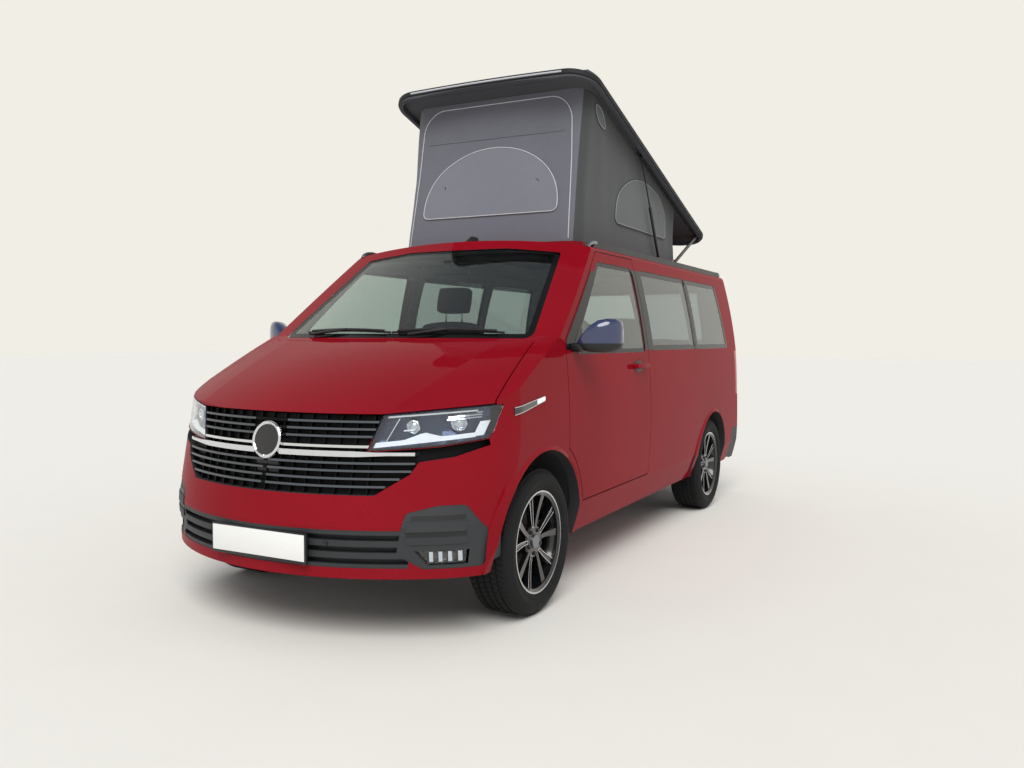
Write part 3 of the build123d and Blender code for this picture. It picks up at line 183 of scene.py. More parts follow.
def grained(name, base, deep, rough, grain_mm, bump, spread=0.1, **sockets):
    """Moulded, cast or coated stuff: two tones, uneven gloss and bump from a grain of a real size."""
    tree, shader, place = blank(name, **sockets)
    where = place.outputs["Object"]
    grain = add(tree, "TexNoise", {"Vector": where, "Scale": 1000 / grain_mm, "Detail": 3.0})
    cloud = add(tree, "TexNoise", {"Vector": where, "Scale": 1000 / (grain_mm * 40), "Detail": 2.0})
    blend = add(tree, "Math", {0: grain.outputs["Fac"], 1: cloud.outputs["Fac"]}, operation="MULTIPLY")
    tone = add(tree, "Mix", {"Factor": blend.outputs[0], 6: base, 7: deep}, data_type="RGBA")
    gloss = add(tree, "MapRange", {"Value": cloud.outputs["Fac"], "To Min": rough - spread,
                                   "To Max": rough + spread})
    lumps = add(tree, "Bump", {"Height": grain.outputs["Fac"], "Strength": bump, "Distance": grain_mm * MM})
    plug(tree, shader, {"Base Color": tone.outputs[2], "Roughness": gloss.outputs[0],
                        "Normal": lumps.outputs[0]})


def red_clearcoat(name, upper, lower, lid=False):
    """Metallic lacquer: flakes in red under a clear coat; inside, cloth lining above and moulded trim below.

    On a lid the red is only on what looks up; the grey on the rest is partly the shell's lining and partly
    painted shade on the red lip's skirt and bottom.
    """
    tones, _ = chosen()
    tree, shader, place = blank(name, Coat_Roughness=0.03, Coat_IOR=1.42, Specular_IOR_Level=0.0)
    where, normal = place.outputs["Object"], place.outputs["Normal"]
    # flakes are a tenth of a millimetre, drawn at 4 mm so that they show
    flake = add(tree, "TexVoronoi", {"Vector": where, "Scale": 1000 / 4.0})
    sway = add(tree, "TexNoise", {"Vector": where, "Scale": 1.4, "Detail": 1.0})
    share = add(tree, "Math", {0: flake.outputs["Distance"], 1: sway.outputs["Fac"]}, operation="MULTIPLY")
    red = add(tree, "Mix", {"Factor": share.outputs[0], 6: tuple(tones.body), 7: tuple(tones.flake)},
              data_type="RGBA")
    # faces that look back to the middle of the van are its inside
    from_middle = add(tree, "VectorMath", {0: where, 1: (0, 0, -1.05)}, operation="ADD")
    flat = add(tree, "VectorMath", {0: from_middle.outputs[0], 1: (0.4, 1, 1)}, operation="MULTIPLY")
    outside, limit = flat.outputs[0], -0.02
    # on the shell all that does not look up turns grey: lining inside, and painted shade on the lip's skirt
    # and bottom
    if lid:
        outside, limit = (-sin(ROOF_TILT), 0, cos(ROOF_TILT)), 0.35
    facing = add(tree, "VectorMath", {0: outside, 1: normal}, operation="DOT_PRODUCT")
    inside = add(tree, "Math", {0: facing.outputs["Value"], 1: limit}, operation="LESS_THAN")
    # the returns of the wheel arches, which look at the tyre, take the dark trim colour as well, as painted
    # shade in the arch
    level = add(tree, "VectorMath", {0: where, 1: (1, 0, 1)}, operation="MULTIPLY")
    sideways = add(tree, "SeparateXYZ", {0: normal})
    turned = add(tree, "Math", {0: sideways.outputs["Y"], 1: 0.0, 2: 0.6}, operation="COMPARE")
    for axle in ("tyre_front_left", "tyre_rear_left"):
        low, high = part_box(axle)
        hub = ((low.x + high.x) / 2, 0, (low.z + high.z) / 2)
        reach = add(tree, "VectorMath", {0: level.outputs[0], 1: hub}, operation="DISTANCE")
        near = add(tree, "Math", {0: reach.outputs["Value"], 1: 0.47}, operation="LESS_THAN")
        both = add(tree, "Math", {0: near.outputs[0], 1: turned.outputs[0]}, operation="MULTIPLY")
        inside = add(tree, "Math", {0: inside.outputs[0], 1: both.outputs[0]}, operation="MAXIMUM")
    height = add(tree, "SeparateXYZ", {0: where})
    above = add(tree, "Math", {0: height.outputs["Z"], 1: 1.2}, operation="GREATER_THAN")
    cloth = add(tree, "Mix", {"Factor": above.outputs[0], 6: lower, 7: upper}, data_type="RGBA")
    tone = add(tree, "Mix", {"Factor": inside.outputs[0], 6: red.outputs[2], 7: cloth.outputs[2]},
               data_type="RGBA")
    gloss = add(tree, "MapRange", {"Value": inside.outputs[0], "To Min": 0.34, "To Max": 0.85})
    coat = add(tree, "MapRange", {"Value": inside.outputs[0], "To Min": 0.3, "To Max": 0.0})
    # orange peel of the lacquer, about 9 mm from crest to crest
    peel = add(tree, "TexNoise", {"Vector": where, "Scale": 1000 / 9.0, "Detail": 1.0})
    skin = add(tree, "Bump", {"Height": peel.outputs["Fac"], "Strength": 0.012, "Distance": 0.001})
    plug(tree, shader, {"Base Color": tone.outputs[2], "Roughness": gloss.outputs[0],
                        "Coat Weight": coat.outputs[0], "Normal": skin.outputs[0]})


def float_glass(name, tint):
    """Float glass, tinted in the melt: clear, with a faint unevenness of its gloss."""
    tree, shader, place = blank(name, Transmission_Weight=1.0, IOR=1.5, Base_Color=tint, Roughness=0.0)
    film = add(tree, "TexNoise", {"Vector": place.outputs["Object"], "Scale": 6.0, "Detail": 3.0})
    gloss = add(tree, "MapRange", {"Value": film.outputs["Fac"], "To Min": 0.0, "To Max": 0.02})
    plug(tree, shader, {"Roughness": gloss.outputs[0]})


def woven(name, warp, weft, thread_mm, rough, use_uv=True):
    """Plain-woven polyester-cotton: crossed threads with slubs, soft and matt; fine ones drawn coarser."""
    tree, shader, place = blank(name, Roughness=rough, Sheen_Weight=0.15, Sheen_Roughness=0.5)
    where = place.outputs["UV" if use_uv else "Object"]
    threads = {"Vector": where, "Scale": 1000 / thread_mm / pi, "Distortion": 0.4}
    along = add(tree, "TexWave", threads, bands_direction="X")
    across = add(tree, "TexWave", threads, bands_direction="Y" if use_uv else "Z")
    weave = add(tree, "Math", {0: along.outputs["Fac"], 1: across.outputs["Fac"]}, operation="MULTIPLY")
    slubs = add(tree, "TexNoise", {"Vector": where, "Scale": 14.0, "Detail": 6.0, "Roughness": 0.65})
    mixed = add(tree, "Mix", {"Factor": 0.35, 2: weave.outputs[0], 3: slubs.outputs["Fac"]})
    tone = add(tree, "Mix", {"Factor": mixed.outputs[0], 6: weft, 7: tuple(warp)},
               data_type="RGBA")
    lumps = add(tree, "Bump", {"Height": weave.outputs[0], "Strength": 0.25, "Distance": 0.0006})
    plug(tree, shader, {"Base Color": tone.outputs[2], "Normal": lumps.outputs[0]})


def turned_alloy(name):
    """Diamond-turned aluminium: bright, with the fine streaks that the lathe tool leaves."""
    tree, shader, place = blank(name, Metallic=1.0)
    streak = add(tree, "TexNoise", {"Vector": place.outputs["Object"], "Scale": 1000 / 1.5, "Detail": 2.0})
    tone = add(tree, "Mix", {"Factor": streak.outputs["Fac"], 6: linear("B4B7BB"), 7: linear("DCDEE0")},
               data_type="RGBA")
    gloss = add(tree, "MapRange", {"Value": streak.outputs["Fac"], "To Min": 0.16, "To Max": 0.3})
    plug(tree, shader, {"Base Color": tone.outputs[2], "Roughness": gloss.outputs[0]})


# name, base and deep colour, roughness, grain in mm, bump, spread of the roughness, other sockets
GRAINED = (
    # polished ABS: clean black gloss
    ("gloss_black_abs", "0B0C0E", "15171A", 0.16, 6.0, 0.01, 0.05, {"Coat_Weight": 0.4}),
    # unpainted ABS of the grille's net: deep black, with little gloss
    ("matt_black_abs", "08090A", "0D0E10", 0.55, 2.0, 0.05, 0.1, {"Specular_IOR_Level": 0.12}),
    # ABS from an etched mould: black with a soft sheen
    ("satin_black_abs", "16171A", "0E0F11", 0.42, 2.0, 0.08, 0.1, {}),
    # satin paint on the slats' front edges: even dark grey
    ("slat_paint", "4C5054", "3C4044", 0.36, 4.0, 0.02, 0.1, {}),
    # chrome on plastic: mirror bright
    ("bright_chrome", "E4E6E9", "CDD1D6", 0.06, 30.0, 0.0, 0.03, {"Metallic": 1.0}),
    # etched and anodised aluminium: pale grey with blurred highlights
    ("anodised_aluminium", "8E9297", "74787D", 0.36, 1.2, 0.05, 0.1, {"Metallic": 1.0}),
    # black anodised extrusion: dark metal with a dull sheen
    ("black_anodised_rail", "2B2D30", "1D1F21", 0.38, 1.5, 0.05, 0.1, {"Metallic": 0.7}),
    # moulded tyre rubber: near black, matt, faintly dusty
    ("tyre_rubber", "151516", "202021", 0.78, 1.6, 0.3, 0.1, {"Specular_IOR_Level": 0.25}),
    # extruded sealing rubber: matt black, smoother than a tyre
    ("seal_rubber", "0F1011", "191A1B", 0.62, 1.2, 0.15, 0.1, {}),
    # stoved gloss paint in the rims' pockets: black, as if wet
    ("gloss_black_rim_paint", "0C0D0F", "17181B", 0.2, 8.0, 0.01, 0.06, {"Coat_Weight": 0.6}),
    # sand-cast iron: brown-grey and rough
    ("cast_iron", "4B4744", "37322F", 0.62, 3.0, 0.5, 0.1, {"Metallic": 0.8}),
    # sprayed stone-chip coat: dark, lumpy and dull
    ("stone_chip_underseal", "26272A", "1A1B1D", 0.75, 5.0, 0.6, 0.1, {}),
    # pipe tinted by heat: warm grey metal
    ("exhaust_steel", "8D8479", "6B6055", 0.42, 4.0, 0.15, 0.1, {"Metallic": 1.0}),
    # die-cast aluminium: grey and pebbled
    ("engine_casting", "5B5D60", "424447", 0.5, 3.5, 0.4, 0.1, {"Metallic": 0.6}),
    # foamed skin of the dashboard: dark, with a leather grain and no gloss
    ("soft_dash_skin", "2A2B2E", "1E1F22", 0.66, 2.2, 0.35, 0.1, {}),
    # melamine-faced board: pale and even
    ("laminate_board", "B9B4AA", "A39D92", 0.45, 9.0, 0.04, 0.1, {}),
    # zinc-plated steel, passivated dark: grey metal
    ("zinc_link_steel", "4A4C50", "393B3F", 0.4, 2.0, 0.1, 0.1, {"Metallic": 0.9}),
    # blackened piston rod: dark, with a narrow highlight
    ("blackened_rod", "3B3D40", "2C2E31", 0.28, 1.5, 0.03, 0.1, {"Metallic": 0.9}),
    # polished steel rod: bright, with a sharp highlight
    ("polished_rod", "B9BBBE", "A7A9AD", 0.15, 1.5, 0.02, 0.1, {"Metallic": 1.0}),
    # reflective film on a pressed plate: plain white with a light gloss
    ("plate_white", "F2F2EF", "E6E6E2", 0.3, 5.0, 0.02, 0.1, {"Coat_Weight": 0.3}),
    # metallised lamp housing: blue-grey, half a mirror
    ("blue_grey_lamp_shell", "3E4A66", "2B3348", 0.22, 12.0, 0.0, 0.06, {"Metallic": 0.55}),
    # vapour-coated reflector: silver, a little rippled
    ("lamp_reflector", "E8EBEF", "C9D0DA", 0.12, 9.0, 0.03, 0.06, {"Metallic": 1.0}),
    # silvered glass: a mirror
    ("silvered_glass", "D5DADF", "C8CED4", 0.03, 40.0, 0.0, 0.01, {"Metallic": 1.0}),
    # ceramic print fired on glass: black under a smooth face
    ("black_glass_print", "0A0B0C", "121314", 0.18, 1.5, 0.0, 0.04, {"Specular_IOR_Level": 0.2}),
    # amber acrylic: warm orange gloss
    ("amber_lens", "D9822B", "B9651B", 0.15, 3.0, 0.05, 0.05, {}),
    # thick red acrylic: dark red under a wet gloss
    ("red_lens", "9E0B12", "7A070D", 0.12, 4.0, 0.06, 0.05, {"Coat_Weight": 0.8}),
    # red acrylic over a reflector: bright red
    ("red_lens_bright", "B80F19", "960B13", 0.16, 4.0, 0.05, 0.05,
     {"Coat_Weight": 0.25, "Specular_IOR_Level": 0.2}),
    # smoked polycarbonate: black gloss
    ("smoked_black_lens", "0D0E10", "17191B", 0.1, 4.0, 0.0, 0.03, {"Coat_Weight": 0.8}),
    # smoked red acrylic: nearly black, red in the light
    ("smoked_lens", "2B0A0C", "1A0607", 0.12, 4.0, 0.04, 0.04, {"Coat_Weight": 0.8}),
    # frosted acrylic light guide: white and a little lit
    ("frosted_light_guide", "F4F7FB", "D9E1EA", 0.25, 3.0, 0.02, 0.1,
     {"Emission_Color": linear("F6FAFF"), "Emission_Strength": 0.35}),
)


def make_finishes():
    """All the materials, from what each real one is."""
    tones, _ = chosen()
    # grey of the shell's lining, also painted shade on the lip's skirt and bottom
    shell_lining_and_lip_shade = linear("54575B")
    red_clearcoat("metallic_red_lacquer", tuple(tones.lining), tuple(tones.trim))
    red_clearcoat("metallic_red_shell", shell_lining_and_lip_shade, shell_lining_and_lip_shade, lid=True)
    red_clearcoat("metallic_red_handle", tuple(tones.body), tuple(tones.body))
    for name, base, deep, rough, grain, bump, spread, sockets in GRAINED:
        grained(name, linear(base), linear(deep), rough, grain, bump, spread, **sockets)
    # polypropylene with a spark-eroded grain: dull, faintly speckled
    grained("grained_polypropylene", tuple(tones.plastic), darker(tones.plastic, 0.6), 0.58, 2.5, 0.25)
    # lacquered ABS: dark blue under a deep gloss
    grained("mirror_cap_lacquer", tuple(tones.mirror_cap), darker(tones.mirror_cap, 0.7), 0.12, 6.0, 0.0,
            0.04, Coat_Weight=1.0)
    turned_alloy("diamond_turned_alloy")
    # lamp covers are colourless, cab panes greenish and the rear ones grey
    for name, tint in (("clear_polycarbonate", "F4F8FB"), ("green_float_glass", "C9D6D0"),
                       ("privacy_glass", "A9B4B4")):
        float_glass(name, linear(tint))
    # coated tent cloth: matt, with the weave just in sight; its windows are thinner and paler
    # front and side copies of one cloth: the front copies lighter as painted light, the side copies darker as
    # painted shade
    woven("cloth_front_painted_lit", tones.lit_front_cloth, darker(tones.lit_front_cloth, 0.66), 3.0, 0.82)
    woven("cloth_side_painted_shade", tones.shaded_side_cloth, darker(tones.shaded_side_cloth, 0.66), 3.0, 0.85)
    woven("window_front_painted_lit", tones.lit_front_window_cloth, darker(tones.lit_front_window_cloth, 0.7), 2.0, 0.75)
    woven("window_side_painted_shade", tones.shaded_side_window_cloth, darker(tones.shaded_side_window_cloth, 0.7), 2.0, 0.8)
    # woven cord covers: pale lines along the seams
    # the greyer copy of the cord, used on the side windows, is the pale cord darkened as painted shade
    woven("side_cord_painted_shade", linear("A2A6A6"), linear("7F8484"), 2.0, 0.6, use_uv=False)
    woven("piping_cord", tones.piping, darker(tones.piping, 0.75), 2.0, 0.6, use_uv=False)
    # flat-woven seat cloth: soft dark grey
    woven("seat_cloth", tones.seat, darker(tones.seat, 0.6), 3.5, 0.85, use_uv=False)


# Shaping

def steps(start, stop, parts):
    """Even steps from start to stop, both ends included."""
    return [start + (stop - start) * k / parts for k in range(parts + 1)]


def row(run, z):
    """Points across the van at a height, to lay on its front or back."""
    return [Vector((0.0, y, z)) for y in run]


def upright(y, levels):
    """Points one above another at a place across the van."""
    return [Vector((0.0, y, z)) for z in levels]


def link_piece(name, mesh, body, finishes, stands_for=()):
    """Object of a mesh that rides on a body and takes its finishes."""
    piece = bpy.data.objects.new(name, mesh)
    bpy.context.scene.collection.objects.link(piece)
    for face in mesh.polygons:
        face.use_smooth = True
    for finish in finishes:
        mesh.materials.append(FINISHES[finish])
    if stands_for:
        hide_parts(*stands_for)
    if body:
        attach(piece, body)
    return piece


def settle(bm, name, body, finishes, stands_for=(), sharp=40.0):
    """Closes a bmesh into a piece with smooth faces and sharp corners."""
    bmesh.ops.remove_doubles(bm, verts=bm.verts, dist=1e-6)
    mesh = bpy.data.meshes.new(name)
    bm.to_mesh(mesh)
    bm.free()
    piece = link_piece(name, mesh, body, finishes, stands_for)
    mesh.set_sharp_from_angle(angle=radians(sharp))
    return piece


def cord(name, points, radius, body, finish, closed=False):
    """Piece that is a round cord through the points."""
    curve = bpy.data.curves.new(name + "_line", "CURVE")
    curve.dimensions = "3D"
    curve.bevel_depth = radius
    curve.bevel_resolution = 3
    curve.use_fill_caps = not closed
    spline = curve.splines.new("POLY")
    spline.points.add(len(points) - 1)
    for place, point in zip(spline.points, points):
        place.co = (*point, 1.0)
    spline.use_cyclic_u = closed
    line = bpy.data.objects.new(name + "_line", curve)
    bpy.context.scene.collection.objects.link(line)
    bpy.context.view_layer.update()
    mesh = bpy.data.meshes.new_from_object(line)
    mesh.materials.clear()
    bpy.data.objects.remove(line)
    return link_piece(name, mesh, body, [finish])


def round_edges(bm, edges, radius, segments=2):
    """Bevelled edges."""
    bmesh.ops.bevel(bm, geom=edges, offset=radius, offset_type="OFFSET", segments=segments, profile=0.5,
                    affect="EDGES", material=-1, clamp_overlap=True)


def slab(bm, centre, size, radius, turn=None, index=0, segments=2):
    """Box with rounded edges, turned and put in place."""
    place = Matrix.Translation(Vector(centre)) @ (turn or Matrix.Identity(4)) @ Matrix.Diagonal((*size, 1.0))
    made = bmesh.ops.create_cube(bm, size=1.0, matrix=place)
    for face in {face for vert in made["verts"] for face in vert.link_faces}:
        face.material_index = index
    round_edges(bm, list({edge for vert in made["verts"] for edge in vert.link_edges}), radius, segments)


def lathe(bm, profile, centre, axis, around=48, index=0, closed=False):
    """Ring or cap turned about an axis from (radius, reach) points; a closed profile makes a ring."""
    axis = Vector(axis).normalized()
    side = axis.orthogonal().normalized()
    verts = [bm.verts.new(Vector(centre) + side * r + axis * t) for r, t in profile]
    ends = verts[1:] + verts[:1] if closed else verts[1:]
    edges = [bm.edges.new(pair) for pair in zip(verts, ends)]
    before = set(bm.faces)
    bmesh.ops.spin(bm, geom=verts + edges, cent=centre, axis=axis, dvec=(0, 0, 0), angle=2 * pi, steps=around,
                   use_merge=True, use_normal_flip=False, use_duplicate=False)
    bmesh.ops.remove_doubles(bm, verts=bm.verts, dist=1e-6)
    fresh = [face for face in bm.faces if face not in before]
    bmesh.ops.recalc_face_normals(bm, faces=fresh)
    for face in fresh:
        face.material_index = index


def surface(*names):
    """Tree of the triangles of some CAD nodes, to lay pieces on."""
    corners = []
    faces = []
    for name in names:
        mesh = NODES[name].data
        base = len(corners)
        corners += [vert.co.copy() for vert in mesh.vertices]
        faces += [[base + i for i in face.vertices] for face in mesh.polygons]
    return BVHTree.FromPolygons(corners, faces)


def laid(tree, points, way, lift=0.0):
    """Points cast along way on to a surface, lifted off it along its normal."""
    found = []
    for point in points:
        hit, normal, _, _ = tree.ray_cast(Vector(point) - way * RAY_START, way)
        if hit is None:
            raise RuntimeError(f"nothing to lay a piece on at {tuple(point)}")
        if normal.dot(way) > 0:
            normal = -normal
        found.append(hit + normal * lift)
    return found


def doubled(bm, faces, move):
    """Faces of a thin plate, made from a sheet by a copy of it that is moved off."""
    made = bmesh.ops.extrude_face_region(bm, geom=faces)["geom"]
    bmesh.ops.translate(bm, vec=move, verts=[part for part in made if isinstance(part, bmesh.types.BMVert)])
    return [part for part in made if isinstance(part, bmesh.types.BMFace)]


def ribbon(bm, lower, upper, thick, way, index=0):
    """Strip between two lines of points, thickened along way."""
    low = [bm.verts.new(p) for p in lower]
    high = [bm.verts.new(p) for p in upper]
    faces = [bm.faces.new((a, b, d, c)) for a, b, c, d in zip(low, low[1:], high, high[1:])]
    shell = set(doubled(bm, faces, Vector(way) * thick))
    shell |= {face for vert in low + high for face in vert.link_faces}
    bmesh.ops.recalc_face_normals(bm, faces=list(shell))
    for face in shell:
        face.material_index = index


def strip(bm, tree, way, lower, upper, lift, thick, index=0):
    """Ribbon between two lines cast along way on to a surface, thickened off it, or inwards if below 0."""
    ribbon(bm, laid(tree, lower, way, lift), laid(tree, upper, way, lift), thick, -way, index)


def skin_copy(node, keep):
    """Merged copy of the faces of a CAD node that pass a test."""
    bm = bmesh.new()
    bm.from_mesh(NODES[node].data)
    bmesh.ops.remove_doubles(bm, verts=bm.verts, dist=2e-5)
    bmesh.ops.recalc_face_normals(bm, faces=bm.faces)
    drop = [face for face in bm.faces if not keep(face.normal, face.calc_center_median())]
    bmesh.ops.delete(bm, geom=drop, context="FACES")
    return bm


def rim_loops(bm):
    """Closed loops of corners along the open edges of a sheet."""
    left = {edge for edge in bm.edges if edge.is_boundary}
    loops = []
    while left:
        loop = list(left.pop().verts)
        while True:
            following = [edge for edge in loop[-1].link_edges if edge in left]
            if not following:
                break
            left.discard(following[0])
            loop.append(following[0].other_vert(loop[-1]))
        loops.append([vert.co.copy() for vert in loop[:-1]])
    return loops


def paced(loop, step):
    """Points at even steps along a closed loop."""
    ends = loop[1:] + loop[:1]
    spans = [(b - a).length for a, b in zip(loop, ends)]
    wanted = max(12, round(sum(spans) / step))
    gap = sum(spans) / wanted
    points = []
    due = 0.0
    gone = 0.0
    for a, b, span in zip(loop, ends, spans):
        while due < gone + span - 1e-9 and len(points) < wanted:
            points.append(a.lerp(b, (due - gone) / span))
            due += gap
        gone += span
    return points


def border(node, name, body, width, way):
    """Printed border along the edge of each pane of a node, on the face that looks along way."""
    thick = 0.0006
    pane = skin_copy(node, lambda normal, middle: normal.dot(way(middle)) > 0.35)
    tree = BVHTree.FromBMesh(pane)
    bm = bmesh.new()
    for loop in rim_loops(pane):
        points = paced(loop, 0.012)
        middle = sum(points, Vector()) / len(points)
        facing = way(middle).normalized()
        after = points[1:] + points[:1]
        turn = sum((a - middle).cross(b - middle).dot(facing) for a, b in zip(points, after))
        lines = ([], [])
        for last, point, coming in zip(points[-1:] + points[:-1], points, after):
            inwards = facing.cross(coming - last).normalized() * (1 if turn > 0 else -1)
            for line, shift in zip(lines, (0.0005, width)):
                place, normal, _, _ = tree.find_nearest(point + inwards * shift)
                line.append(place + normal * (thick if normal.dot(facing) > 0 else -thick))
        outer, inner = lines
        ribbon(bm, outer + outer[:1], inner + inner[:1], thick, facing)
    pane.free()
    settle(bm, name, body, ["black_glass_print"])


def patch(outline, tree, way, lift, rings=5):
    """Sheet that fills an outline and lies on a surface."""
    bm = bmesh.new()
    middle = sum(outline, Vector()) / len(outline)
    before = None
    for k in range(rings):
        share = 1.0 - k / rings
        loop = [bm.verts.new(middle + (point - middle) * share) for point in outline]
        edges = [bm.edges.new(pair) for pair in zip(loop, loop[1:] + loop[:1])]
        if before:
            bmesh.ops.bridge_loops(bm, edges=before + edges)
        before = edges
    bmesh.ops.contextual_create(bm, geom=before)
    for vert in bm.verts:
        vert.co = laid(tree, [vert.co], way, lift)[0]
    bmesh.ops.recalc_face_normals(bm, faces=bm.faces)
    if sum(face.normal.dot(way) * face.calc_area() for face in bm.faces) > 0:
        bmesh.ops.reverse_faces(bm, faces=bm.faces)
    return bm


def plate(outline, tree, way, lift, rings, thick):
    """Thin plate that fills an outline and lies on a surface."""
    bm = patch(outline, tree, way, lift, rings)
    doubled(bm, bm.faces[:], -way * thick)
    bmesh.ops.recalc_face_normals(bm, faces=bm.faces)
    return bm


def raised(point):
    """Place of a point of the shut roof with the roof up."""
    return ARM_HEAD + Matrix.Rotation(-ROOF_TILT, 3, "Y") @ (Vector(point) - ARM_HEAD_SHUT)


PANELS = {
    "metallic_red_lacquer": ("body_sides", "sliding_door", "roof_panel", "screen_frame", "front_wings",
                             "front_bumper", "bonnet", "door_left", "door_right", "tailgate"),
    "metallic_red_shell": ("roof_shell",),
    "grained_polypropylene": ("bumper_trim", "rear_bumper"),
    "stone_chip_underseal": ("floor_pan", "arch_liners", "fuel_tank"),
    "matt_black_abs": ("grille",),
    "bright_chrome": ("grille_chrome",),
    "black_anodised_rail": ("roof_rails",),
    "exhaust_steel": ("exhaust",),
    "engine_casting": ("engine_block",),
    "cast_iron": ("front_suspension", "rear_axle", "knuckle_left", "knuckle_right"),
    "soft_dash_skin": ("dashboard", "steering_wheel"),
    "laminate_board": ("galley",),
    "zinc_link_steel": ("roof_arms", "strut_cases"),
    "blackened_rod": ("strut_rods",),
    "green_float_glass": ("windscreen", "door_glass_left", "door_glass_right"),
    "privacy_glass": ("side_glass", "tailgate_glass"),
    "red_lens_bright": ("tail_lamps",),
}


class CAMPER_OT_paint_panels(bpy.types.Operator):
    """Paint, plastic, metal and board on the CAD panels"""
    bl_idname = "camper.paint_panels"
    bl_label = "Paint Panels"

    def execute(self, context):
        make_finishes()
        for finish, names in PANELS.items():
            for name in names:
                slots = NODES[name].data.materials
                slots.clear()
                slots.append(FINISHES[finish])
        return {"FINISHED"}


# Tent and roof

FRONT_MOON = (0.474, 2.108, 2.502)   # half width, low and high z of the half-moon windows
FRONT_MOON_X = 0.5   # ahead of the cloth, on which the outline is then laid
SIDE_MOON = (0.525, 2.098, 2.405, -0.02)
SIDE_MOON_X = -0.69
WINDOW_LIFT = 0.0062
WINDOW_RINGS = 14


def rounded_plan(front, rear, half, corner, counts=(14, 9, 52, 26)):
    """Rounded rectangle in plan, from the middle of its front round the left side, with counts of points."""
    on_front, on_corner, on_side, on_rear = counts
    near, far, wide = front - corner, rear + corner, half - corner
    points = []

    def run(a, b, parts):
        points.extend(zip(steps(a[0], b[0], parts)[:-1], steps(a[1], b[1], parts)[:-1]))

    def bend(x, y, start):
        turns = [radians(turn) for turn in steps(start, start + 90.0, on_corner)[:-1]]
        points.extend((x + corner * cos(turn), y + corner * sin(turn)) for turn in turns)

    run((front, 0.0), (front, wide), on_front)
    bend(near, wide, 0.0)
    run((near, half), (far, half), on_side)
    bend(far, wide, 90.0)
    run((rear, wide), (rear, -wide), on_rear)
    bend(far, -wide, 180.0)
    run((far, -half), (near, -half), on_side)
    bend(near, -wide, 270.0)
    run((front, -wide), (front, 0.0), on_front)
    return points


def half_moon(wide, low, high, skew=0.0):
    """Half-moon outline with rounded lower corners, as (across, up) points about its middle."""
    points = []
    for turn in steps(0.0, pi, 44):
        rise = max(0.0, sin(turn)) ** 0.92
        points.append((wide * cos(turn) + skew * rise, low + (high - low) * rise))
    bend = [(wide * 0.994, low - 0.016), (wide * 0.972, low - 0.030), (wide * 0.935, low - 0.036)]
    points += [(-across, up) for across, up in bend]
    points += [(across, low - 0.037) for across in steps(-wide * 0.90, wide * 0.90, 14)]
    return points + bend[::-1]


